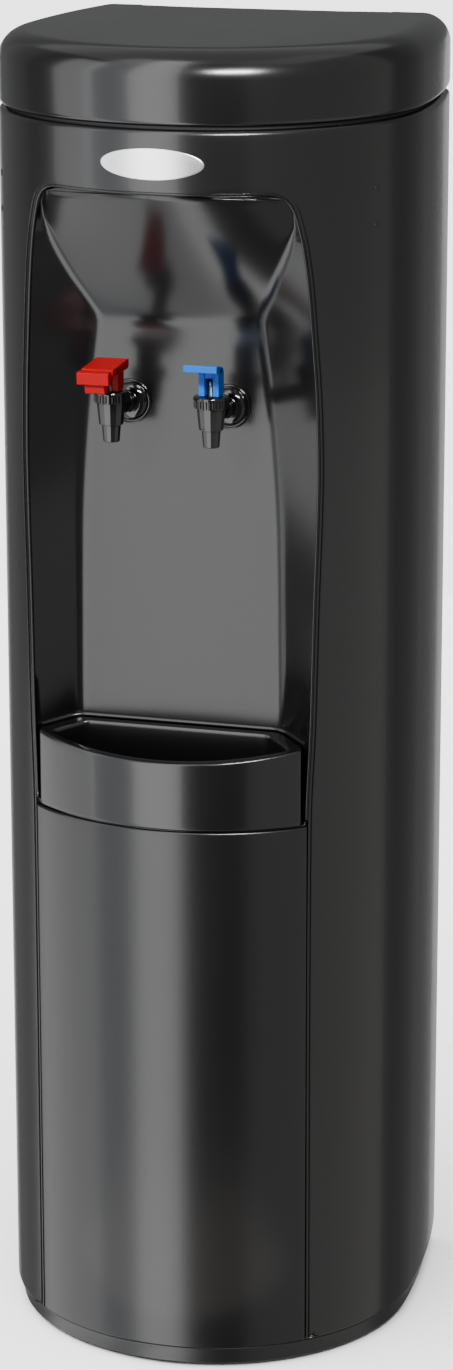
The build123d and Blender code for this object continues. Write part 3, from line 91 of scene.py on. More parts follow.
# Taps and levers
TAP_X, TAP_DEPTH = 36.9, 22.0
SHANK_Z = 721.4
PIVOT_Z = 746.1
BONNET_TOP = 737.5
FORK_INNER, FORK_OUTER, FORK_BRIDGE = 2.9, 7.5, 3.2
PADDLE_TIP, PADDLE_TIP_HALF, PADDLE_WAIST_HALF = 27.5, 12.4, 7.5
PADDLE_TOP, PADDLE_THICK, PADDLE_SLOPE = 764.0, 5.4, 11.0
SLAB_HALF = 11.85

# Condenser and the screws of the back
CONDENSER_DEPTH, CONDENSER_Z = 274.0, 600.0
SCREW_X, SCREW_LOW, SCREW_STEP = 107.0, 60.0, 410.0


def y_at(depth):
    """Y of a depth measured back from the front of the cabinet."""
    return FRONT_Y + depth


# Shader maths


class Value:
    """A shader value that adds Math nodes when it is used in an expression."""

    def __init__(self, finish, socket):
        self.finish = finish
        self.socket = socket

    def combine(self, operation, first, second):
        node = self.finish.add("ShaderNodeMath", {"operation": operation}, {0: first, 1: second})
        return Value(self.finish, node.outputs[0])

    def __add__(self, other):
        return self.combine("ADD", self, other)

    def __radd__(self, other):
        return self.combine("ADD", other, self)

    def __sub__(self, other):
        return self.combine("SUBTRACT", self, other)

    def __rsub__(self, other):
        return self.combine("SUBTRACT", other, self)

    def __mul__(self, other):
        return self.combine("MULTIPLY", self, other)

    def __rmul__(self, other):
        return self.combine("MULTIPLY", other, self)

    def clamped(self):
        node = self.finish.add("ShaderNodeClamp", {}, {"Value": self})
        return Value(self.finish, node.outputs[0])


class Finish:
    """One procedural material, built from named nodes."""

    def __init__(self, name, **constants):
        self.material = bpy.data.materials.new(name)
        self.material.use_nodes = True
        self.tree = self.material.node_tree
        self.tree.nodes.clear()
        self.surface = self.add("ShaderNodeBsdfPrincipled", {}, constants)
        out = self.add("ShaderNodeOutputMaterial")
        self.tree.links.new(self.surface.outputs[0], out.inputs[0])
        self.material.diffuse_color = tuple(constants.get("Base Color", (0.5, 0.5, 0.5, 1)))

    def add(self, kind, settings=None, inputs=None):
        """A node of a kind, with its settings first and then its inputs."""
        node = self.tree.nodes.new(kind)
        for key, value in (settings or {}).items():
            if key == "stops":
                ramp = node.color_ramp
                while len(ramp.elements) < len(value):
                    ramp.elements.new(0.5)
                for element, (place, colour) in zip(ramp.elements, value):
                    element.position = place
                    element.color = colour
            else:
                setattr(node, key, value)
        for key, value in (inputs or {}).items():
            if isinstance(value, Value):
                value = value.socket
            if isinstance(value, bpy.types.NodeSocket):
                self.tree.links.new(value, node.inputs[key])
            else:
                node.inputs[key].default_value = value
        return node

    def place(self, stretch=(1, 1, 1)):
        """Object coordinates, stretched."""
        where = self.add("ShaderNodeTexCoord")
        spot = self.add("ShaderNodeMapping", {}, {"Vector": where.outputs["Object"], "Scale": stretch})
        return spot.outputs[0]

    def noise(self, scale, detail=3.0, rough=0.5, stretch=(1, 1, 1)):
        """Noise from 0 to 1 at a scale per metre."""
        node = self.add("ShaderNodeTexNoise", {}, {"Vector": self.place(stretch), "Scale": scale,
                                                   "Detail": detail, "Roughness": rough})
        return Value(self, node.outputs["Fac"])

    def cells(self, scale):
        """Distance to the nearest cell of a random pattern."""
        node = self.add("ShaderNodeTexVoronoi", {}, {"Vector": self.place(), "Scale": scale})
        return Value(self, node.outputs["Distance"])

    def tint(self, factor, dark, light):
        """Colour between two by a value."""
        node = self.add("ShaderNodeMix", {"data_type": "RGBA"}, {0: factor, 6: (*dark, 1), 7: (*light, 1)})
        return node.outputs[2]

    def feed(self, name, value):
        """Drives one of the surface's sockets."""
        if isinstance(value, Value):
            value = value.socket
        self.tree.links.new(value, self.surface.inputs[name])

    def relief(self, height, distance):
        """Bumps the surface by a value."""
        bump = self.add("ShaderNodeBump", {}, {"Strength": 1.0, "Distance": distance, "Height": height})
        self.tree.links.new(bump.outputs[0], self.surface.inputs["Normal"])


def moulded(name, colour, rough, grain=1100.0, depth=0.00002, spread=0.05, **more):
    """Injection-moulded plastic: slow flow marks, fine texture and faint handling marks."""
    finish = Finish(name, **{"Base Color": (*colour, 1), "Roughness": rough, **more})
    flow = finish.noise(7.0, 4.0, 0.55, (1, 1, 0.35))
    fine = finish.noise(grain, 2.0, 0.6)
    marks = finish.noise(60.0, 5.0, 0.65)
    lighter = tuple(min(1.0, part * 1.2 + (0.001 if part > 0 else 0)) for part in colour)
    finish.feed("Base Color", finish.tint(flow, colour, lighter))
    finish.feed("Roughness", rough + (flow - 0.5) * spread + (marks - 0.5) * spread * 0.7)
    finish.relief(fine + marks * 0.35, depth)
    return finish.material


def enamelled(name, colour, rough):
    """Sprayed enamel on steel, with a light orange peel."""
    finish = Finish(name, **{"Base Color": (*colour, 1), "Roughness": rough, "Coat Weight": 0.25,
                             "Coat Roughness": 0.2})
    peel = finish.noise(420.0, 2.0, 0.5)
    dust = finish.noise(22.0, 5.0, 0.7)
    dusty = tuple(part * 0.7 + 0.03 for part in colour)
    finish.feed("Base Color", finish.tint((dust * 1.6 - 0.45).clamped(), colour, dusty))
    finish.feed("Roughness", rough + dust * 0.18 - 0.06)
    finish.relief(peel, 0.00004)
    return finish.material


def brushed(name, colour, rough, stretch=(1, 60, 60), scale=90.0):
    """Metal with a drawn or brushed grain along one axis."""
    finish = Finish(name, **{"Base Color": (*colour, 1), "Metallic": 1.0, "Roughness": rough})
    lines = finish.noise(scale, 4.0, 0.7, stretch)
    tarnish = finish.noise(35.0, 4.0, 0.6)
    darker = tuple(part * 0.78 for part in colour)
    finish.feed("Base Color", finish.tint(tarnish, darker, colour))
    finish.feed("Roughness", rough + (lines - 0.5) * 0.25 + (tarnish - 0.5) * 0.1)
    finish.relief(lines, 0.00001)
    return finish.material


def foamed(name, colour):
    """Expanded foam: soft cells and a matt skin."""
    finish = Finish(name, **{"Base Color": (*colour, 1), "Roughness": 0.9, "Subsurface Weight": 0.05})
    beads = finish.cells(260.0)
    stain = finish.noise(9.0, 4.0, 0.6)
    darker = tuple(part * 0.86 for part in colour)
    finish.feed("Base Color", finish.tint(beads * 0.7 + stain * 0.4, colour, darker))
    finish.relief(beads, 0.0006)
    return finish.material


def rubbery(name, colour, rough):
    """Soft rubber or silicone with a matt bloom."""
    finish = Finish(name, **{"Base Color": (*colour, 1), "Roughness": rough, "Subsurface Weight": 0.04})
    bloom = finish.noise(45.0, 5.0, 0.7)
    paler = tuple(part * 0.85 + 0.02 for part in colour)
    finish.feed("Base Color", finish.tint(bloom, colour, paler))
    finish.feed("Roughness", rough + (bloom - 0.5) * 0.2)
    finish.relief(finish.noise(900.0, 2.0), 0.00005)
    return finish.material


# Smoother skin over the textured plastic that faces the hand, which keeps small highlights crisp
POLISHED = {"Coat Weight": 0.12, "Coat Roughness": 0.05}

FINISHES = {
    "cabinet_black": moulded("cabinet_black", (0.0065, 0.0065, 0.007), 0.26, **POLISHED),
    "panel_black": moulded("panel_black", (0.0065, 0.0065, 0.007), 0.26),
    "cover_black": moulded("cover_black", (0.0065, 0.0065, 0.007), 0.22, **POLISHED),
    "recess_grey": moulded("recess_black", (0.008, 0.008, 0.0085), 0.19, **{"Specular IOR Level": 0.41}),
    "tray_black": moulded("tray_black", (0.0065, 0.0065, 0.007), 0.22, **POLISHED),
    "base_plastic": moulded("base_plastic", (0.011, 0.011, 0.011), 0.3),
    "tap_black": moulded("tap_black", (0.012, 0.012, 0.0125), 0.08, 1500.0, 0.000004, 0.03),
    "plug_plastic": moulded("plug_plastic", (0.004, 0.004, 0.004), 0.55),
    "white_plastic": moulded("white_plastic", (0.78, 0.78, 0.76), 0.4),
    "float_plastic": moulded("float_plastic", (0.7, 0.74, 0.78), 0.45),
    "rocker_red": moulded("rocker_red", (0.5, 0.012, 0.01), 0.3),
    "knob_black": moulded("knob_black", (0.02, 0.02, 0.02), 0.42),
    "lever_red": moulded("lever_red", (0.55, 0.0, 0.004), 0.42, 1500.0, 0.00001, 0.04,
                         **{"Specular IOR Level": 0.12}),
    "lever_blue": moulded("lever_blue", (0.0, 0.19, 0.9), 0.42, 1500.0, 0.00001, 0.04,
                          **{"Specular IOR Level": 0.2}),
    "rear_sheet": enamelled("rear_sheet", (0.018, 0.018, 0.018), 0.45),
    "condenser_black": enamelled("condenser_black", (0.01, 0.01, 0.01), 0.4),
    "compressor_black": enamelled("compressor_black", (0.012, 0.012, 0.012), 0.3),
    "badge_metal": brushed("badge_metal", (0.86, 0.86, 0.87), 0.3, (1, 40, 40), 60.0),
    "screw_steel": brushed("screw_steel", (0.62, 0.62, 0.6), 0.35),
    "frame_steel": brushed("frame_steel", (0.6, 0.61, 0.62), 0.45, (30, 30, 1), 30.0),
    "tank_steel": brushed("tank_steel", (0.68, 0.68, 0.67), 0.3, (1, 1, 60), 40.0),
    "band_steel": brushed("band_steel", (0.5, 0.49, 0.47), 0.4, (1, 1, 80), 40.0),
    "stem_steel": brushed("stem_steel", (0.3, 0.3, 0.31), 0.3, (40, 40, 1), 120.0),
    "spring_steel": brushed("spring_steel", (0.6, 0.6, 0.59), 0.3, (10, 10, 10), 90.0),
    "copper_tube": brushed("copper_tube", (0.75, 0.38, 0.22), 0.32, (8, 8, 8), 60.0),
    "white_foam": foamed("white_foam", (0.82, 0.81, 0.77)),
    "foot_rubber": rubbery("foot_rubber", (0.012, 0.012, 0.012), 0.7),
    "silicone_tube": rubbery("silicone_tube", (0.7, 0.7, 0.66), 0.5),
    "seat_silicone": rubbery("seat_silicone", (0.68, 0.68, 0.66), 0.55),
}


# Mesh helpers


def piece(name, node_names, verts, faces, finish, smooth, closed=False, facing=None):
    """Makes a mesh piece from millimetre points, dressed and riding with the node that it replaces.

    An open skin is faced by a point and a sign: 1 turns its faces away from the point, and -1 towards it.
    """
    mesh = bpy.data.meshes.new(name)
    bm = bmesh.new()
    points = [bm.verts.new((x * MM, y * MM, z * MM)) for x, y, z in verts]
    for face in faces:
        corners = [points[i] for i in face]
        if len(set(corners)) > 2:
            try:
                bm.faces.new(corners)
            except ValueError:
                continue
    bmesh.ops.remove_doubles(bm, verts=bm.verts, dist=0.00002)
    bmesh.ops.dissolve_degenerate(bm, edges=bm.edges, dist=0.000005)
    bm.normal_update()
    if closed:
        bmesh.ops.recalc_face_normals(bm, faces=bm.faces)
    elif facing is not None:
        bmesh.ops.recalc_face_normals(bm, faces=bm.faces)
        spot, away = Vector(facing[0]) * MM, facing[1]
        score = sum(face.normal.dot(face.calc_center_median() - spot) * face.calc_area() for face in bm.faces)
        if score * away < 0:
            bmesh.ops.reverse_faces(bm, faces=bm.faces)
    bm.to_mesh(mesh)
    bm.free()
    return dress(name, mesh, node_names, finish, smooth)


def dress(name, mesh, node_names, finish, smooth):
    """Object for a mesh, with its finish, its body and the nodes that it stands for."""
    mesh.materials.clear()
    mesh.materials.append(FINISHES[finish])
    mesh.shade_smooth()
    mesh.set_sharp_from_angle(angle=radians(smooth))
    made = bpy.data.objects.new(name, mesh)
    bpy.context.collection.objects.link(made)
    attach(made, body_of[node_names[0]])
    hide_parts(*node_names)
    return made


def wall(made, thickness):
    """Gives an open skin its wall, on the inside."""
    thick = made.modifiers.new("wall", "SOLIDIFY")
    thick.thickness = thickness * MM
    thick.offset = -1.0
    thick.use_even_offset = True
    thick.use_rim = True
    return made


def rounded(made, width):
    """Rounds a piece's edges."""
    edge = made.modifiers.new("edges", "BEVEL")
    edge.width = width * MM
    edge.segments = 3
    edge.limit_method = "ANGLE"
    edge.angle_limit = radians(30.0)
    edge.harden_normals = True
    return made


class Skin:
    """Collects points and faces of one piece."""

    def __init__(self):
        self.verts = []
        self.faces = []

    def grid(self, rows, ring=False):
        """Quads between rows of points of equal length."""
        start = len(self.verts)
        width = len(rows[0])
        for row in rows:
            self.verts.extend(row)
        for i in range(len(rows) - 1):
            for j in range(width if ring else width - 1):
                k = (j + 1) % width
                a, b = start + i * width + j, start + i * width + k
                self.faces.append((a, b, b + width, a + width))
        return self

    def cap(self, points):
        """One flat face through points."""
        start = len(self.verts)
        self.verts.extend(points)
        self.faces.append(tuple(range(start, start + len(points))))
        return self

    def lathe(self, profile, origin, axis="Z", steps=72, phase=0.0):
        """Closed band of a profile of radius and height, turned about the Z or the Y axis."""
        rows = []
        for radius, height in profile:
            row = []
            for step in range(steps):
                angle = 2 * pi * step / steps + phase
                across, along = radius * cos(angle), radius * sin(angle)
                shift = (across, along, height) if axis == "Z" else (across, height, along)
                row.append(tuple(o + s for o, s in zip(origin, shift)))
            rows.append(row)
        return self.grid(rows, ring=True)

    def mirrored(self):
        """Adds the other half, across the middle plane."""
        count = len(self.verts)
        self.verts.extend([(-x, y, z) for x, y, z in self.verts])
        self.faces.extend([tuple(count + i for i in reversed(face)) for face in list(self.faces)])
        return self


def blend_between(table, z):
    """Smooth curve through a table of heights and values."""
    if z <= table[0][0]:
        return table[0][1]
    for k in range(len(table) - 1):
        (z0, v0), (z1, v1) = table[k], table[k + 1]
        if z <= z1:
            before = table[k - 1] if k > 0 else (2 * z0 - z1, v0)
            after = table[k + 2] if k + 2 < len(table) else (2 * z1 - z0, v1)
            m0 = (v1 - before[1]) / (z1 - before[0])
            m1 = (after[1] - v0) / (after[0] - z0)
            h, t = z1 - z0, (z - z0) / (z1 - z0)
            return ((2 * t**3 - 3 * t**2 + 1) * v0 + (t**3 - 2 * t**2 + t) * h * m0
                    + (-2 * t**3 + 3 * t**2) * v1 + (t**3 - t**2) * h * m1)
    return table[-1][1]


def plan_point(s, inset, corner=REAR_CORNER, depth=DEPTH):
    """Outline from above: s 0 front middle, 1 widest, 2 to 3 rear corner, 4 rear middle."""
    radius = HALF_WIDTH - inset
    middle = y_at(HALF_WIDTH)
    if s <= 1:
        return radius * sin(s * pi / 2), middle - radius * cos(s * pi / 2)
    sweep, centre_x = SWEEP - inset, HALF_WIDTH - SWEEP
    grown, back = sweep - corner, y_at(depth - inset) - corner
    last = asin((back - middle) / grown)
    if s <= 2:
        return centre_x + sweep * cos((s - 1) * last), middle + sweep * sin((s - 1) * last)
    hub = (centre_x + grown * cos(last), back)
    if s <= 3:
        turn = last + (s - 2) * (pi / 2 - last)
        return hub[0] + corner * cos(turn), hub[1] + corner * sin(turn)
    return hub[0] * (4 - s), y_at(depth - inset)


def front_share(x, inset=0.0):
    """Outline place of a distance from the middle, on the round front."""
    return asin(min(1.0, x / (HALF_WIDTH - inset))) / (pi / 2)


def on_front(x, z, inset):
    """Point on or under the round front."""
    radius = HALF_WIDTH - inset
    return x, y_at(HALF_WIDTH) - sqrt(max(radius**2 - x**2, 0.0)), z


def front_depth(x):
    """Depth of the round front at a distance from the middle."""
    return HALF_WIDTH - sqrt(max(HALF_WIDTH**2 - x**2, 0.0))


def spread(start, end, count):
    """Evenly spaced numbers, both ends included."""
    return [start + (end - start) * i / (count - 1) for i in range(count)]


def bend(start, corner, end, share):
    """Point on a curve from a start to an end, drawn towards a corner."""
    a, b, c = (1 - share) ** 2, 2 * share * (1 - share), share**2
    return tuple(a * p + b * q + c * r for p, q, r in zip(start, corner, end))


def rounded_path(points, radius, steps, slack=2.0):
    """Polyline with its corners rounded, each by no more than its shorter leg over the slack."""
    spots = [Vector(p) for p in points]
    path = [points[0]]
    for before, corner, after in zip(spots, spots[1:], spots[2:]):
        reach = min(radius, (before - corner).length / slack, (after - corner).length / slack)
        start = corner + (before - corner).normalized() * reach
        end = corner + (after - corner).normalized() * reach
        path += [bend(start, corner, end, t) for t in spread(0, 1, steps)]
    path.append(points[-1])
    return path


# The opening's edge

# Half width of the opening at a height, up to its corner, and then (z, x) round the corner
EDGE = ((0, 103.8), (421, 103.8), (498, 106.3), (585, 108.0), (640, 109.5), (685, 110.1), (735, 108.9),
        (780, 106.3), (816, 103.8), (843, 100.7), (858, 98.0))
CORNER = ((867.0, 95.6), (873.0, 92.9), (877.4, 89.3), (880.4, 84.6), (881.7, 79.5), (OPENING_TOP, 74.0))


def edge_path():
    """Half of the opening's edge from the foot up and over to the middle, as (x, z)."""
    low = [SHELL_LOW + rise for rise in (0.0, 0.4, 1.2, 3.0)] + spread(40, 420, 12)
    rise = spread(426, 690, 34) + spread(697, 856, 30)
    path = [(blend_between(EDGE, z), z) for z in low + rise]
    path += [(x, z) for z, x in CORNER]
    path += [(x, OPENING_TOP) for x in spread(66.0, 0.0, 9)]
    return path


def edge_normals(path):
    """Unit direction away from the opening at each point of its edge."""
    normals = [(1.0, 0.0)]
    for before, after in zip(path, path[2:]):
        along = (after[0] - before[0], after[1] - before[1])
        length = sqrt(along[0] ** 2 + along[1] ** 2)
        normals.append((along[1] / length, -along[0] / length))
    normals.append((0.0, 1.0))
    return normals


OPENING = edge_path()
OUTWARD = edge_normals(OPENING)
TURN = next(k for k, (x, z) in enumerate(OPENING) if z >= OPENING_TOP)


def edge_band(offsets, first=0):
    """Rows along the opening's edge, one point for each pair of offset and inset."""
    rows = []
    for (x, z), (nx, nz) in list(zip(OPENING, OUTWARD))[first:]:
        low = foot_inset(z)
        rows.append([on_front(max(x + nx * out, 0.0), z + nz * out, max(inset, low))
                     for out, inset in offsets])
    return rows


def foot_inset(z):
    """How far the shell is rounded in at its lower edge."""
    return blend_between(((0.0, 1.1), (0.4, 0.4), (1.2, 0.06), (2.0, 0.0)), z - SHELL_LOW)


# Cabinet


def make_body_shell():
    """Black wrap round the cabinet, rolled in at the opening and at its top."""
    roll = ((0.0, 2.9), (0.0, 0.4), (0.06, 0.18), (0.18, 0.06), (0.4, 0.0), (4.0, 0.0))
    skin = Skin()
    skin.grid(edge_band(roll))
    out = roll[-1][0]
    rear = 4 - REAR_PANEL_HALF / plan_point(3, 0.0)[0]
    rows, shares = [], []
    for (x, z), (nx, nz) in list(zip(OPENING, OUTWARD))[:TURN + 1]:
        inset = foot_inset(z)
        start = front_share(x + nx * out, inset)
        shares = spread(start, 1, 26)[:-1] + spread(1, 2, 14)[:-1] + spread(2, 3, 7)[:-1]
        shares += [3, (3 + rear) / 2, rear]
        rows.append([(*plan_point(s, inset), z + nz * out) for s in shares])
    skin.grid(rows)
    shares = [front_share(x) for x, z in OPENING[:TURN:-1]] + shares
    band = [(OPENING_TOP + out + rise, 0.0) for rise in (0, 4, 10, 17, 24, 31)]
    band += [(SHELL_TOP - SHELL_TOP_ROUND * (1 - sin(a)), SHELL_TOP_ROUND * (1 - cos(a)))
             for a in spread(0, pi / 2 - 0.1, 9)]
    band += [(SHELL_TOP, 5.0)]
    skin.grid([[(*plan_point(s, inset), z) for s in shares] for z, inset in band])
    skin.mirrored()
    made = piece("body_shell_skin", ["body_shell"], skin.verts, skin.faces, "cabinet_black", 50,
                 facing=((0, y_at(150), 500), 1))
    return wall(made, SHELL_WALL)


def ceiling_depth(x, z):
    """Depth of the recess's back wall and of the scoop that leads up and forwards from it."""
    lift = (z - CEILING_LOW) / (CEILING_TOP - CEILING_LOW)
    softness, straight_from = 0.03, 0.93
    share = min(1.0, max(0.0, 0.5 * (lift + sqrt(lift**2 + softness**2))))
    if lift > straight_from:
        share = max(share, lift)
    return RECESS_DEPTH * (1 - share) + share * (front_depth(x) + RECESS_INSET)


# Half width of the recess's back wall at a height, and then of the scoop above it
BACK = ((0, 77.6), (500, 77.5), (548, 76.9), (600, 76.1), (645, 74.6), (695, 70.8), (740, 66.4),
        (CEILING_LOW, 61.8))
CREASE = ((CEILING_LOW, 61.8), (816, 76.3), (843, 87.6), (858, 93.6), (870, 97.0), (OPENING_TOP, 100.0))


def recess_row(x, z):
    """Level cut through the recess from its front edge to the middle."""
    front = on_front(x, z, RECESS_INSET)[:2]
    crease = blend_between(BACK, z) if z <= CEILING_LOW else blend_between(CREASE, z)
    crease = min(crease, x - 0.3)
    corner = (crease, y_at(ceiling_depth(crease, z)))
    leg = sqrt((front[0] - corner[0]) ** 2 + (front[1] - corner[1]) ** 2)
    soften = min(RECESS_CORNER, leg * 0.45)
    share = soften / max(leg, 0.01)
    near = tuple(c + (f - c) * share for c, f in zip(corner, front))
    far_x = max(corner[0] - soften, 1.0)
    far = (far_x, y_at(ceiling_depth(far_x, z)))
    row = [tuple(f + (n - f) * t for f, n in zip(front, near)) for t in spread(0, 1, 9)]
    row += [bend(near, corner, far, t) for t in spread(0, 1, 9)[1:]]
    row += [(across, y_at(ceiling_depth(across, z))) for across in spread(far_x, 0.0, 18)[1:]]
    return [(*point, z) for point in row]


def make_recess():
    """Moulded recess with its land, side walls and scooped top."""
    land = [(-0.12, 3.6), (-0.12, 0.3), (-0.18, 0.1)]
    land += [(-0.3 - 2.2 * sin(a), 2.4 * (1 - cos(a)) + 0.02) for a in spread(0, pi / 2, 9)]
    land += [(-2.5, RECESS_INSET)]
    inner = land[-1][0]
    least_rise, ceiling_gap = 0.8, 1.5
    first = next(k for k, (x, z) in enumerate(OPENING) if z > RECESS_LOW)
    skin = Skin()
    skin.grid(edge_band(land, first))
    foot = recess_row(OPENING[first][0] + inner, RECESS_LOW)
    rows = []
    for (x, z), (nx, nz) in list(zip(OPENING, OUTWARD))[first:TURN]:
        level = z + nz * inner
        if level < CEILING_TOP - ceiling_gap and (not rows or level - rows[-1][0][2] > least_rise):
            rows.append(recess_row(x + nx * inner, level))
    floor = [on_front(point[0], RECESS_LOW, RECESS_INSET) for point in foot]
    top = [on_front(x, CEILING_TOP, RECESS_INSET) for x in spread(CORNER[-1][1], 0.0, len(foot))]
    skin.grid([floor, foot] + rows + [top])
    skin.mirrored()
    made = piece("recess_skin", ["recess_moulding"], skin.verts, skin.faces, "recess_grey", 50,
                 facing=((0, y_at(-200), 640), -1))
    return wall(made, MOULDING_WALL)


def tube(points, radius):
    """Rows of a round tube along points."""
    rows = []
    steps = 14
    spots = [Vector(p) for p in points]
    for k, spot in enumerate(spots):
        ahead = spots[min(k + 1, len(spots) - 1)] - spots[max(k - 1, 0)]
        ahead.normalize()
        side = ahead.cross(Vector((0, 0, 1))).normalized()
        up = side.cross(ahead)
        rows.append([tuple(spot + (side * cos(a) + up * sin(a)) * radius)
                     for a in (2 * pi * step / steps for step in range(steps))])
    return rows


def make_rib():
    """Rounded rib that runs round the recess just above the tray."""
    side, back = (100.6, y_at(45.4), 480.6), (77.4, y_at(65.2), 485.0)
    points = [(-side[0], *side[1:]), (-back[0], *back[1:]), back, side]
    skin = Skin()
    rows = tube(rounded_path(points, 9, 8), 2.2)
    skin.grid(rows, ring=True)
    skin.cap(rows[0]).cap(rows[-1])
    piece("recess_rib", ["recess_moulding"], skin.verts, skin.faces, "recess_grey", 50, closed=True)


def make_front_panel():
    """Removable lower panel with soft edges."""
    border = ((0.0, 2.3), (0.0, 0.8), (0.12, 0.4), (0.38, 0.14), (0.8, 0.02), (1.4, 0.0))
    xs = spread(0, PANEL_HALF - 4.0, 34)
    across = [(x, 0.0) for x in xs] + [(PANEL_HALF - out, inset) for out, inset in reversed(border)]
    top = ((0.0, 2.4), (0.0, 1.5), (0.25, 0.85), (0.75, 0.3), (1.5, 0.06), (2.4, 0.0))
    low = [(PANEL_LOW + out, inset) for out, inset in border]
    high = [(PANEL_TOP - out, inset) for out, inset in reversed(top)]
    rows = []
    for z, down in low + [(z, 0.0) for z in spread(30, 410, 14)] + high:
        rows.append([on_front(x, z, max(inset, down)) for x, inset in across])
    skin = Skin().grid(rows).mirrored()
    made = piece("front_panel_skin", ["lower_front_panel"], skin.verts, skin.faces, "panel_black", 50,
                 facing=((0, y_at(150), 220), 1))
    return wall(made, MOULDING_WALL)


def tray_loop(inset, squeeze):
    """Tray outline at an inset, from the front middle round the right side to the rear middle."""
    half = TRAY_HALF - squeeze
    back_x, back_y = TRAY_BACK_HALF - squeeze * 0.72, y_at(TRAY_BACK_DEPTH - squeeze * 0.45)
    front = on_front(half, 0, inset)
    side = (half, max(front[1] + 3.0, y_at(TRAY_SIDE_DEPTH - squeeze * 0.25)), 0)
    path = [on_front(half - 2.5, 0, inset), front, side, (back_x, back_y, 0), (back_x - 10, back_y, 0)]
    loop = [on_front(x, 0, inset) for x in spread(0, half - 3.5, 30)]
    loop += rounded_path(path, TRAY_CORNER, 6, 2.05)[1:-1]
    loop += [(x, back_y, 0) for x in spread(back_x - 8, 0, 12)]
    return loop


def tray_ring(inset, squeeze, drop=0.0, level=None):
    """Tray outline at a drop below its sloping rim, or at a level."""
    return [(x, y, TRAY_RIM + TRAY_RISE * (y - FRONT_Y) - drop if level is None else level)
            for x, y, flat in tray_loop(inset, squeeze)]


def make_tray():
    """Drip tray: curved apron, sloping rim and a basin."""
    foot = ((0.9, 0.0), (0.25, 0.3), (0.0, 1.0))
    rows = [tray_ring(inset, inset, level=TRAY_LOW + rise) for inset, rise in foot]
    start = TRAY_LOW + foot[-1][1]
    for share in spread(0.05, 0.9, 5):
        rows.append([(x, y, start + (z - start) * share) for x, y, z in tray_ring(0.0, 0.0, 2.0)])
    rim = ((0.0, 0.0, 2.0), (0.1, 0.1, 1.1), (0.45, 0.45, 0.45), (1.0, 1.0, 0.1), (1.8, 1.8, 0.0),
           (4.2, 8.6, 0.0), (5.2, 10.0, 0.1), (5.8, 10.8, 0.5), (6.1, 11.2, 1.4), (6.2, 11.3, 3.0))
    rows += [tray_ring(*step) for step in rim]
    for share in spread(0.15, 0.85, 4):
        rows.append([(x, y, z + (BASIN_LOW - z) * share) for x, y, z in tray_ring(6.6, 11.8, 3.0)])
    basin = ((7.2, 12.6, 0.0), (8.2, 13.8, 2.5), (10.5, 16.5, 3.8), (15.0, 22.0, 4.2))
    rows += [tray_ring(inset, squeeze, level=BASIN_LOW - drop) for inset, squeeze, drop in basin]
    skin = Skin().grid(rows)
    for row in (rows[-1], rows[0]):
        skin.grid([row, [(0.0, y, z) for x, y, z in row]])
    skin.mirrored()
    return piece("drip_tray_skin", ["drip_tray"], skin.verts, skin.faces, "tray_black", 50, closed=True)


def make_cover():
    """Domed top with a soft shoulder and a notch at the back."""
    profile = [(7.0, COVER_LOW), (COVER_FOOT_ROUND, COVER_LOW)]
    profile += [(COVER_FOOT_ROUND * (1 - sin(a)), COVER_LOW + COVER_FOOT_ROUND * (1 - cos(a)))
                for a in spread(0.2, pi / 2, 8)]
    profile += [(COVER_ROUND * (1 - cos(a)), HEIGHT - COVER_ROUND * (1 - sin(a)))
                for a in spread(0, pi / 2, 15)]
    shares = spread(0, 1, 34)[:-1] + spread(1, 2, 22)
    rows = [[(*plan_point(s, inset, 0.01, DEPTH + inset), z) for s in shares] for inset, z in profile]
    skin = Skin().grid(rows)
    skin.grid([[(x * share, y, z) for x, y, z in rows[-1]] for share in (1.0, 0.5, 0.0)])
    back, notch_y = y_at(DEPTH), y_at(DEPTH - NOTCH_DEPTH)
    notch = ((NOTCH_HALF, back), (NOTCH_HALF, notch_y), (0.0, notch_y))
    ends = [row[-1] for row in rows]
    skin.grid([ends] + [[(*corner, z) for x, y, z in ends] for corner in notch])
    skin.mirrored()
    verts = [(x, notch_y if abs(x) < NOTCH_HALF - 0.01 and y > notch_y else y, z) for x, y, z in skin.verts]
    return piece("top_cover_skin", ["top_cover"], verts, skin.faces, "cover_black", 40,
                 facing=((0, y_at(150), 940), 1))


def make_cover_step():
    """Step in the seam under the top, in the darkest matt plastic: painted shade that makes the seam read as
    a black gap.
    """
    inner = 9.0
    shares = spread(0, 1, 34)[:-1] + spread(1, 2, 16)[:-1] + spread(2, 3, 4)
    profile = ((inner, STEP_LOW), (STEP_INSET, STEP_LOW), (STEP_INSET, STEP_TOP), (inner, STEP_TOP))
    rows = [[(*plan_point(s, inset), z) for s in shares] for inset, z in profile]
    step = Skin().grid(rows + rows[:1]).mirrored()
    # The plug plastic here is painted shade for the seam: darker and more matt than the top's own plastic.
    return piece("cover_step", ["top_cover"], step.verts, step.faces, "plug_plastic", 40, closed=True)


def make_base():
    """Plinth with a small step under the cabinet."""
    shares = spread(0, 1, 34)[:-1] + spread(1, 2, 16)[:-1] + spread(2, 3, 7)[:-1] + [3, 3.5, 4]
    profile = ((6.0, 3.0), (5.0, 3.05), (4.5, 3.5), (4.4, 4.4), (4.4, 13.2), (4.2, 13.9), (3.4, 14.2),
               (2.0, 14.25), (1.4, 14.5), (1.2, 15.0), (1.2, 16.4), (1.6, 16.85), (2.8, 16.9), (2.8, 26.0),
               (6.5, 26.0), (6.9, 6.0))
    rows = [[(*plan_point(s, inset), z) for s in shares] for inset, z in profile]
    skin = Skin().grid(rows)
    for row in (rows[0], rows[-1]):
        skin.grid([row, [(0.0, y, z) for x, y, z in row]])
    skin.mirrored()
    return piece("base_plinth_skin", ["base_plinth"], skin.verts, skin.faces, "base_plastic", 40, closed=True)


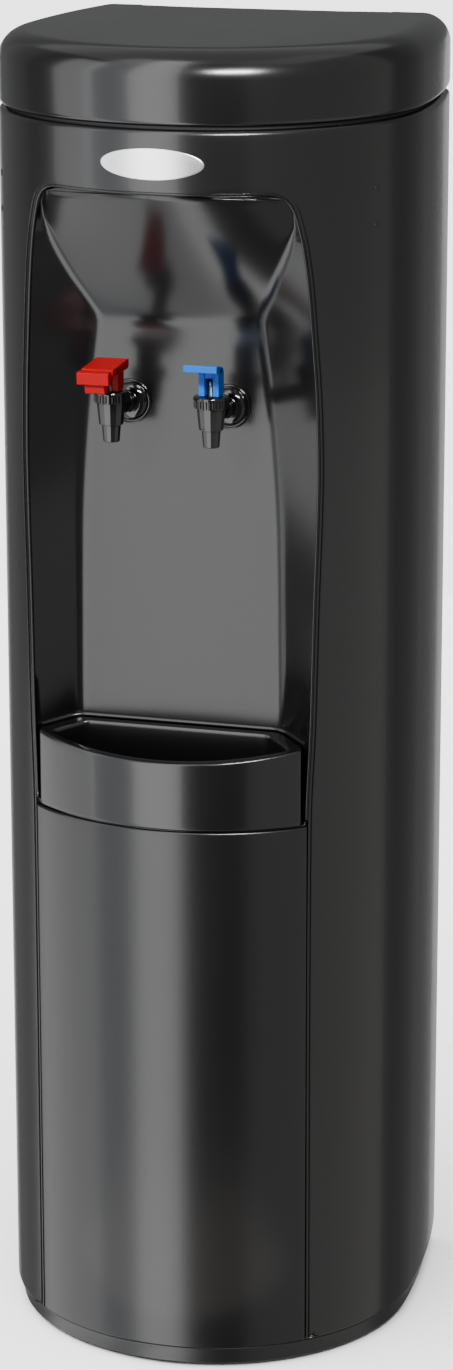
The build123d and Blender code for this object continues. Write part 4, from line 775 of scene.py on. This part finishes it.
def make_badge():
    """Domed oval plate on the front, left bare."""
    dome = ((1.0, -0.3), (1.0, 0.25), (0.99, 0.5), (0.975, 0.66), (0.955, 0.74), (0.93, 0.76), (0.85, 0.86),
            (0.7, 0.98), (0.5, 1.09), (0.25, 1.17), (0.0, 1.2))
    angles = [2 * pi * step / 96 for step in range(96)]
    rows = []
    for share, proud in dome:
        half, rise = BADGE_HALF * share, BADGE_HALF_HEIGHT * share
        rows.append([on_front(half * cos(a), BADGE_Z + rise * sin(a), -proud) for a in angles])
    skin = Skin().grid(rows, ring=True)
    skin.cap(rows[0])
    return piece("badge_skin", ["badge_plate"], skin.verts, skin.faces, "badge_metal", 60, closed=True)


# Taps


def make_tap(name, x):
    """Faceted barrel with its spout, a shank through the recess's wall and a bonnet."""
    y = y_at(TAP_DEPTH)
    facets = 14
    barrel = ((3.6, 704.0), (3.6, 701.3), (4.0, 700.9), (5.5, 700.9), (5.9, 701.3), (6.9, 713.0),
              (7.9, 713.05), (8.7, 713.6), (8.9, 714.4), (10.3, 728.2), (10.2, 728.95), (6.6, 728.95),
              (6.6, 713.8), (3.6, 713.8), (3.6, 704.0))
    shank = ((5.9, 1.0), (5.9, 30.0), (6.7, 30.3), (6.9, 31.0), (6.9, 38.5), (6.0, 38.6), (6.0, 64.0),
             (3.9, 64.0), (3.9, 74.0), (2.2, 74.0), (2.2, 1.0), (5.9, 1.0))
    skin = Skin().lathe(barrel, (x, y, 0), steps=facets, phase=pi / 2 + pi / facets)
    skin.lathe(shank, (x, y, SHANK_Z), "Y", 32)
    piece(f"{name}_tap_barrel", [f"{name}_faucet_body"], skin.verts, skin.faces, "tap_black", 22, closed=True)
    bonnet = ((2.6, BONNET_TOP), (11.4, BONNET_TOP), (12.3, 737.1), (12.7, 736.3), (12.7, 735.4),
              (12.2, 735.1), (12.2, 730.2), (12.0, 729.4), (11.2, 729.05), (8.6, 729.05), (8.6, 735.3),
              (2.6, 735.3), (2.6, BONNET_TOP))
    skin = Skin().lathe(bonnet, (x, y, 0))
    piece(f"{name}_bonnet_skin", [f"{name}_bonnet"], skin.verts, skin.faces, "tap_black", 30, closed=True)


def make_rosettes():
    """Domed rosettes on the recess's back wall."""
    dome = ((6.1, 5.5), (6.5, 5.58), (7.3, 5.55), (7.6, 5.3), (8.6, 5.2), (10.2, 4.85), (11.8, 4.1),
            (13.0, 3.0), (13.7, 1.9), (14.1, 1.45), (14.5, 1.4), (14.8, 1.7), (15.3, 1.95), (15.8, 1.85),
            (16.15, 1.5), (16.3, 1.0), (16.3, 0.1), (6.1, 0.1), (6.1, 5.5))
    skin = Skin()
    for x in (-TAP_X, TAP_X):
        skin.lathe([(radius, -height) for radius, height in dome], (x, y_at(RECESS_DEPTH), SHANK_Z), "Y")
    piece("tap_rosettes", ["escutcheons"], skin.verts, skin.faces, "tap_black", 35, closed=True)


def bar(outline, low, high):
    """Solid between two planes across X, from an outline of (y, z)."""
    sides = [[(x, y, z) for y, z in outline] for x in (low, high)]
    return Skin().grid(sides, ring=True).cap(sides[0]).cap(sides[1])


def fork(x, y, top):
    """Skins of a lever's fork: two cheeks, a bridge over the stem and a web behind it."""
    low = BONNET_TOP + 0.35
    cheek = [(y - 6.5, low), (y + 4.6, low), (y + 6.0, low + 0.8), (y + 6.5, low + 2.4),
             (y + 6.5, top - 4.0), (y + 5.6, top - 1.6), (y + 3.6, top), (y - 6.5, top)]
    under = PIVOT_Z + 4.6
    bridge = [(y - 6.3, under), (y + 6.3, under), (y + 6.3, top - 4.0), (y + 5.5, top - 1.7),
              (y + 3.5, top - 0.05), (y - 6.3, top - 0.05)]
    web = [(y + 4.6, BONNET_TOP + 0.4), (y + 6.4, BONNET_TOP + 2.4), (y + 6.4, under + 0.2),
           (y + 4.6, under + 0.2)]
    return [bar(cheek, x - FORK_OUTER, x - FORK_INNER), bar(cheek, x + FORK_INNER, x + FORK_OUTER),
            bar(bridge, x - FORK_BRIDGE, x + FORK_BRIDGE), bar(web, x - FORK_BRIDGE, x + FORK_BRIDGE)]


def joined(skins):
    """Several skins as one."""
    whole = Skin()
    for skin in skins:
        start = len(whole.verts)
        whole.verts.extend(skin.verts)
        whole.faces.extend([tuple(start + i for i in face) for face in skin.faces])
    return whole


def make_cold_lever():
    """Blue lever: a paddle that rises to the front on a forked stalk."""
    x, y = TAP_X, y_at(TAP_DEPTH)
    tip = y - PADDLE_TIP
    taper = 24.0
    rows = []
    for along in spread(tip, y + 2.5, 16):
        top = PADDLE_TOP - (along - tip) * tan(radians(PADDLE_SLOPE))
        low = top - PADDLE_THICK
        share = min(1.0, (along - tip) / taper)
        half = PADDLE_TIP_HALF - (PADDLE_TIP_HALF - PADDLE_WAIST_HALF) * share * share * (3 - 2 * share)
        rows.append([(x - half, along, low), (x + half, along, low), (x + half, along, top),
                     (x - half, along, top)])
    paddle = Skin().grid(rows, ring=True).cap(rows[0]).cap(rows[-1])
    skin = joined([paddle] + fork(x, y, 757.6))
    made = piece("cold_lever_skin", ["cold_lever"], skin.verts, skin.faces, "lever_blue", 40, closed=True)
    return rounded(made, 0.7)


def make_hot_lever():
    """Red lever: a level slab on a forked stalk."""
    x, y = -TAP_X, y_at(TAP_DEPTH)
    front = y - 31.0
    slab = [(y + 4.6, 760.0), (y + 4.6, 754.6), (y + 3.0, 753.2), (front, 752.9), (front, 758.2)]
    skin = joined([bar(slab, x - SLAB_HALF, x + SLAB_HALF)] + fork(x, y, 756.0))
    made = piece("hot_lever_skin", ["hot_lever"], skin.verts, skin.faces, "lever_red", 40, closed=True)
    return rounded(made, 0.7)


def make_hot_catch():
    """Safety catch that slides on the red lever's front: a lip, a skirt below it and a tongue."""
    x, y = -TAP_X, y_at(TAP_DEPTH)
    nose, rear = y - 42.0, y - 35.4
    lip = [(nose, 757.4), (rear, 758.1), (rear, 748.6), (nose + 0.8, 748.5)]
    skirt = [(nose + 4.0, 749.6), (rear + 5.0, 749.6), (rear + 5.0, 741.6), (nose + 5.6, 741.5)]
    tongue = [(rear - 1.0, 755.3), (rear + 9.5, 755.6), (rear + 9.5, 752.2), (rear - 1.0, 752.0)]
    skin = joined([bar(lip, x - SLAB_HALF, x + SLAB_HALF), bar(skirt, x - 7.5, x + 7.5),
                   bar(tongue, x - 8.5, x + 8.5)])
    made = piece("hot_catch_skin", ["hot_safety_latch"], skin.verts, skin.faces, "lever_red", 40, closed=True)
    return rounded(made, 0.8)


# Repeated pieces made by Geometry Nodes


class Recipe:
    """A Geometry Nodes tree with named inputs."""

    def __init__(self, name, inputs):
        self.tree = bpy.data.node_groups.new(name, "GeometryNodeTree")
        self.tree.interface.new_socket("Geometry", in_out="OUTPUT", socket_type="NodeSocketGeometry")
        self.sockets = {}
        for label, kind, value in inputs:
            socket = self.tree.interface.new_socket(label, in_out="INPUT", socket_type=kind)
            self.sockets[label] = (socket.identifier, value)
        self.source = self.tree.nodes.new("NodeGroupInput")
        self.out = self.tree.nodes.new("NodeGroupOutput")

    def add(self, kind, settings=None, inputs=None):
        """A node of a kind; an input given as a string is one of the tree's own."""
        node = self.tree.nodes.new(kind)
        for key, value in (settings or {}).items():
            setattr(node, key, value)
        for key, value in (inputs or {}).items():
            if isinstance(value, str):
                value = self.source.outputs[value]
            if isinstance(value, bpy.types.NodeSocket):
                self.tree.links.new(value, node.inputs[key])
            else:
                node.inputs[key].default_value = value
        return node.outputs[0]

    def join(self, shapes):
        """Several shapes as one."""
        node = self.tree.nodes.new("GeometryNodeJoinGeometry")
        for shape in shapes:
            self.tree.links.new(shape, node.inputs[0])
        return node.outputs[0]

    def row(self, shape, count, start, step):
        """A shape repeated in a straight row."""
        line = self.add("GeometryNodeMeshLine", {"mode": "OFFSET"},
                        {"Count": count, "Start Location": start, "Offset": step})
        return self.add("GeometryNodeInstanceOnPoints", {}, {"Points": line, "Instance": shape})

    def moved(self, shape, **change):
        """A shape with a Translation, a Rotation or a Scale."""
        return self.add("GeometryNodeTransform", {}, {"Geometry": shape, **change})

    def build(self, name, result, finish, node_names, smooth):
        """Runs the tree once and keeps its result as a plain mesh."""
        real = self.add("GeometryNodeRealizeInstances", {}, {0: result})
        painted = self.add("GeometryNodeSetMaterial", {}, {"Geometry": real})
        painted.node.inputs["Material"].default_value = FINISHES[finish]
        self.tree.links.new(painted, self.out.inputs[0])
        carrier = bpy.data.objects.new(name + "_recipe", bpy.data.meshes.new(name + "_recipe"))
        bpy.context.collection.objects.link(carrier)
        steps = carrier.modifiers.new("recipe", "NODES")
        steps.node_group = self.tree
        for identifier, value in self.sockets.values():
            steps[identifier] = value
        bpy.context.view_layer.update()
        seen = carrier.evaluated_get(bpy.context.evaluated_depsgraph_get())
        mesh = bpy.data.meshes.new_from_object(seen)
        mesh.name = name
        carrier.modifiers.remove(steps)
        bpy.data.objects.remove(carrier)
        return dress(name, mesh, node_names, finish, smooth)


def make_condenser_wires():
    """Two rows of upright wires, one in front of the tube and one behind it."""
    count, spacing, offset = 12, 12.0 * MM, 3.35 * MM
    inputs = [("Radius", "NodeSocketFloat", 0.8 * MM), ("Length", "NodeSocketFloat", 564.0 * MM),
              ("Count", "NodeSocketInt", count), ("Spacing", "NodeSocketVector", (spacing, 0, 0))]
    recipe = Recipe("condenser_wire_row", inputs)
    wire = recipe.add("GeometryNodeMeshCylinder", {}, {"Vertices": 10, "Radius": "Radius", "Depth": "Length"})
    rows = []
    for side in (-1, 1):
        start = (-spacing * (count - 1) / 2, y_at(CONDENSER_DEPTH) * MM + side * offset, CONDENSER_Z * MM)
        rows.append(recipe.row(wire, "Count", start, "Spacing"))
    recipe.build("condenser_wire_grid", recipe.join(rows), "condenser_black", ["condenser_wires"], 35)


def make_bonnet_ribs(name, x):
    """Fine grip ribs round a tap's bonnet."""
    inputs = [("Ribs", "NodeSocketInt", 32), ("Rib radius", "NodeSocketFloat", 0.62 * MM),
              ("Rib height", "NodeSocketFloat", 5.2 * MM), ("Ring radius", "NodeSocketFloat", 12.22 * MM)]
    middle = (x * MM, y_at(TAP_DEPTH) * MM, (BONNET_TOP - 4.9) * MM)
    recipe = Recipe(f"{name}_grip_ribs", inputs)
    rib = recipe.add("GeometryNodeMeshCylinder", {},
                     {"Vertices": 8, "Radius": "Rib radius", "Depth": "Rib height"})
    ring = recipe.add("GeometryNodeMeshCircle", {}, {"Vertices": "Ribs", "Radius": "Ring radius"})
    ribs = recipe.add("GeometryNodeInstanceOnPoints", {}, {"Points": ring, "Instance": rib})
    lifted = recipe.moved(ribs, Translation=middle)
    recipe.build(f"{name}_bonnet_ribs", lifted, "tap_black", [f"{name}_bonnet"], 40)


def make_screws():
    """Countersunk cross-head screws down both sides of the back."""
    shank_radius, drive_width, drive_length, dome_rise = 2.0 * MM, 0.8 * MM, 4.2 * MM, 2.1 * MM
    recipe = Recipe("cabinet_screw_rows", [("Head radius", "NodeSocketFloat", 3.8 * MM)])
    head = recipe.add("GeometryNodeMeshCone", {}, {"Vertices": 28, "Radius Top": "Head radius",
                                                   "Radius Bottom": shank_radius, "Depth": 2.1 * MM})
    shank = recipe.add("GeometryNodeMeshCylinder", {},
                       {"Vertices": 20, "Radius": shank_radius, "Depth": 8.0 * MM})
    shank = recipe.moved(shank, Translation=(0, 0, -5.0 * MM))
    dome = recipe.add("GeometryNodeMeshUVSphere", {}, {"Segments": 28, "Rings": 10, "Radius": 3.4 * MM})
    dome = recipe.moved(dome, Scale=(1, 1, 0.1), Translation=(0, 0, dome_rise))
    carved = recipe.join((head, shank, dome))
    for turn in (0, pi / 2):
        slot = recipe.add("GeometryNodeMeshCube", {}, {"Size": (drive_length, drive_width, 3.0 * MM)})
        slot = recipe.moved(slot, Rotation=(0, 0, turn), Translation=(0, 0, 2.9 * MM))
        trimmed = recipe.tree.nodes.new("GeometryNodeMeshBoolean")
        trimmed.operation = "DIFFERENCE"
        recipe.tree.links.new(carved, trimmed.inputs[0])
        recipe.tree.links.new(slot, trimmed.inputs[1])
        carved = trimmed.outputs[0]
    screw = recipe.moved(carved, Rotation=(-pi / 2, 0, 0))
    rows = []
    for side in (-1, 1):
        start = (side * SCREW_X * MM, (y_at(DEPTH) - 2.35) * MM, SCREW_LOW * MM)
        rows.append(recipe.row(screw, 3, start, (0, 0, SCREW_STEP * MM)))
    recipe.build("cabinet_screw_set", recipe.join(rows), "screw_steel", ["cabinet_screws"], 30)


# The frame's own parts


def paint_nodes():
    """Gives every CAD node its procedural finish."""
    for name, node in frame["nodes"].items():
        node.data.materials.clear()
        node.data.materials.append(FINISHES[slot_of[name]])


def smooth_copy(name):
    """Same shape as a CAD node, with its round faces shaded round."""
    source = frame["nodes"][name]
    mesh = source.data.copy()
    mesh.name = name + "_skin"
    bm = bmesh.new()
    bm.from_mesh(mesh)
    bmesh.ops.remove_doubles(bm, verts=bm.verts, dist=0.000002)
    bm.to_mesh(mesh)
    bm.free()
    return dress(name + "_skin", mesh, [name], slot_of[name], 28.0)


def make_evaporator():
    """Coil round the cold reservoir, with fewer faces than the solid's fine mesh."""
    coil = smooth_copy("evaporator_coil")
    thin = coil.modifiers.new("thin", "DECIMATE")
    thin.ratio = 0.45
    seen = coil.evaluated_get(bpy.context.evaluated_depsgraph_get())
    thinned = bpy.data.meshes.new_from_object(seen)
    thinned.name = "evaporator_coil_skin"
    coil.modifiers.clear()
    coil.data = thinned


def make_spring(name):
    """Coil spring of a tap, with its round faces shaded round and a mesh of its own."""
    spring = smooth_copy(name + "_spring")
    y_at(TAP_DEPTH) * MM
    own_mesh(spring)


# Stage, light and camera

# Azimuth of the photograph's camera, in degrees, and the tints of its soft boxes
VIEW_AZIMUTH = 16.5
COOL, WARM = (0.93, 0.96, 1.0), (1.0, 0.97, 0.93)


def make_stage():
    """Pale floor with its own soft light, and a pale surround. The gloss mirrors the soft boxes alone."""
    mesh = bpy.data.meshes.new("floor")
    bm = bmesh.new()
    bmesh.ops.create_circle(bm, cap_ends=True, radius=30.0, segments=96)
    bm.to_mesh(mesh)
    bm.free()
    floor = bpy.data.objects.new("floor", mesh)
    bpy.context.collection.objects.link(floor)
    finish = Finish("pale_floor", **{"Base Color": (0.86, 0.86, 0.86, 1), "Roughness": 0.85})
    mottle = finish.noise(1.5, 3.0)
    finish.feed("Base Color", finish.tint(mottle, (0.85, 0.85, 0.85), (0.88, 0.88, 0.88)))
    mesh.materials.append(finish.material)
    floor.visible_glossy = floor.visible_diffuse = floor.visible_shadow = False
    lit = bpy.data.collections.new("lit_by_sky")
    lit.objects.link(floor)
    sky = lamp("sky", "SUN", (0, 0, 4), -towards(-20, 70), 12.0)
    sky.data.angle = radians(75)
    sky.light_linking.receiver_collection = lit
    world = bpy.data.worlds.new("studio")
    world.use_nodes = True
    bpy.context.scene.world = world
    nodes, links = world.node_tree.nodes, world.node_tree.links
    path, bright = nodes.new("ShaderNodeLightPath"), nodes.new("ShaderNodeMath")
    bright.operation = "MULTIPLY_ADD"
    bright.inputs[1].default_value, bright.inputs[2].default_value = 3.0, 0.2
    links.new(path.outputs["Is Camera Ray"], bright.inputs[0])
    links.new(bright.outputs[0], nodes["Background"].inputs[1])
    nodes["Background"].inputs[0].default_value = (0.95, 0.96, 0.97, 1)


def lamp(name, kind, place, facing, radiance, size=(1.0, 1.0), colour=(1, 1, 1)):
    """Lamp at a place, turned along a direction; an area lamp's power comes from its brightness."""
    data = bpy.data.lights.new(name, kind)
    data.color = colour
    data.energy = radiance
    if kind == "AREA":
        data.shape = "RECTANGLE"
        data.size, data.size_y = size
        data.energy = radiance * pi * size[0] * size[1]
        data.spread = radians(180.0)
    elif kind == "SPOT":
        data.spot_size = radians(14.0)
        data.spot_blend = 1.0
        data.shadow_soft_size = 0.25
    holder = bpy.data.objects.new(name, data)
    bpy.context.collection.objects.link(holder)
    holder.location = place
    holder.rotation_mode = "QUATERNION"
    holder.rotation_quaternion = Vector(facing).to_track_quat("-Z", "Y")
    holder.visible_camera = False
    return holder


def towards(azimuth, elevation=0.0):
    """Unit direction from the cabinet at an azimuth and an elevation."""
    turn, rise = radians(azimuth), radians(elevation)
    return Vector((sin(turn) * cos(rise), -cos(turn) * cos(rise), sin(rise)))


def mirror_box(name, azimuth, half_angle, radiance, colour=(1, 1, 1), low=-1.4, high=2.6):
    """Upright lamp that the round front mirrors to the camera."""
    reach, across = 0.68, HALF_WIDTH * MM * sin(radians(half_angle) / 2)
    seen = towards((azimuth + VIEW_AZIMUTH) / 2) * HALF_WIDTH * MM + Vector((0, y_at(HALF_WIDTH) * MM, 0))
    place = seen + towards(azimuth) * reach + Vector((0, 0, (low + high) / 2))
    width = 2 * (reach * tan(radians(half_angle)) + across)
    holder = lamp(name, "AREA", place, -towards(azimuth), radiance, (width, high - low), colour)
    holder.visible_diffuse = False


def over_box(name, azimuth, elevation, distance, size, radiance, aim):
    """Tilted rectangular lamp above, aimed at a height on the axis and seen in the gloss alone."""
    away = towards(azimuth, elevation)
    holder = lamp(name, "AREA", Vector((0, 0, aim)) + away * distance, -away, radiance, size)
    holder.visible_diffuse = False


def make_lights():
    """Soft boxes for the bands on the round front, for the top and for the back, and a spot on the taps."""
    mirror_box("wide_box", -16, 13.5, 4.8)
    mirror_box("middle_fill", -43, 13.5, 1.5, COOL)
    mirror_box("left_box", -78, 24, 2.3, high=0.34)
    mirror_box("left_high", -64, 13, 2.3, low=0.36, high=1.6)
    mirror_box("left_fill", -118, 16, 0.1)
    mirror_box("front_fill", 47, 14, 0.5, high=0.6)
    mirror_box("front_high", 47, 14, 0.3, low=0.6)
    mirror_box("right_fill", 92, 31, 0.58, WARM, high=0.6)
    mirror_box("right_high", 92, 31, 0.36, WARM, low=0.6)
    over_box("crown_box", 27, 26, 2.4, (0.8, 0.26), 165.0, 0.95)
    over_box("top_box", 197, 82, 1.7, (3.2, 3.2), 0.55, 0.98)
    floor_box = lamp("floor_box", "AREA", (0, -0.3, 0.02), (0, 0, 1), 0.5, (0.44, 0.24), (1.0, 0.88, 0.8))
    floor_box.visible_diffuse = False
    behind = towards(197)
    lamp("rear_box", "AREA", behind * 2.2 + Vector((0, 0, -0.25)), -behind, 0.9, (1.7, 2.3))
    above = towards(-12, 32)
    tap_light = lamp("tap_light", "SPOT", above * 2.4 + Vector((0, 0, 0.74)), -above, 400.0)
    tap_light.visible_glossy = False


def make_camera():
    """Camera at the photograph's place, turned and framed as it is."""
    azimuth, elevation, roll = radians(16.4932), radians(15.5871), radians(0.0794)
    distance = 2.9319
    target = Vector((0.003258, 0.172232 + FRONT_Y * MM, 0.484149))
    focal_pixels, photo_height, film = 3873.4338, 1370.0, 36.0
    back = Vector((sin(azimuth) * cos(elevation), -cos(azimuth) * cos(elevation), sin(elevation)))
    data = bpy.data.cameras.new("photo_camera")
    data.lens = focal_pixels * film / photo_height
    data.sensor_width = film
    data.clip_end = 100.0
    camera = bpy.data.objects.new("photo_camera", data)
    bpy.context.collection.objects.link(camera)
    camera.location = target + back * distance
    camera.rotation_mode = "QUATERNION"
    level = (-back).to_track_quat("-Z", "Y")
    camera.rotation_quaternion = level @ Matrix.Rotation(-roll, 3, "Z").to_quaternion()
    bpy.context.scene.camera = camera


TAPS = (("hot", -TAP_X), ("cold", TAP_X))
ROUND_NODES = ("condenser_tube", "inlet_fitting", "thermostat_knob", "hot_switch_rocker", "switch_housing",
               "power_inlet", "foot_pads", "side_plugs", "hot_stem", "cold_stem", "hot_lever_pin",
               "cold_lever_pin")

paint_nodes()
make_camera()
make_body_shell()
make_recess()
make_rib()
make_front_panel()
make_tray()
make_cover()
make_cover_step()
make_base()
make_badge()
for tap_name, tap_x in TAPS:
    make_tap(tap_name, tap_x)
    make_bonnet_ribs(tap_name, tap_x)
make_rosettes()
make_cold_lever()
make_hot_lever()
make_hot_catch()
make_condenser_wires()
make_screws()
for node_name in ROUND_NODES:
    smooth_copy(node_name)
for tap_name, tap_x in TAPS:
    make_spring(tap_name)
make_evaporator()
make_stage()
make_lights()
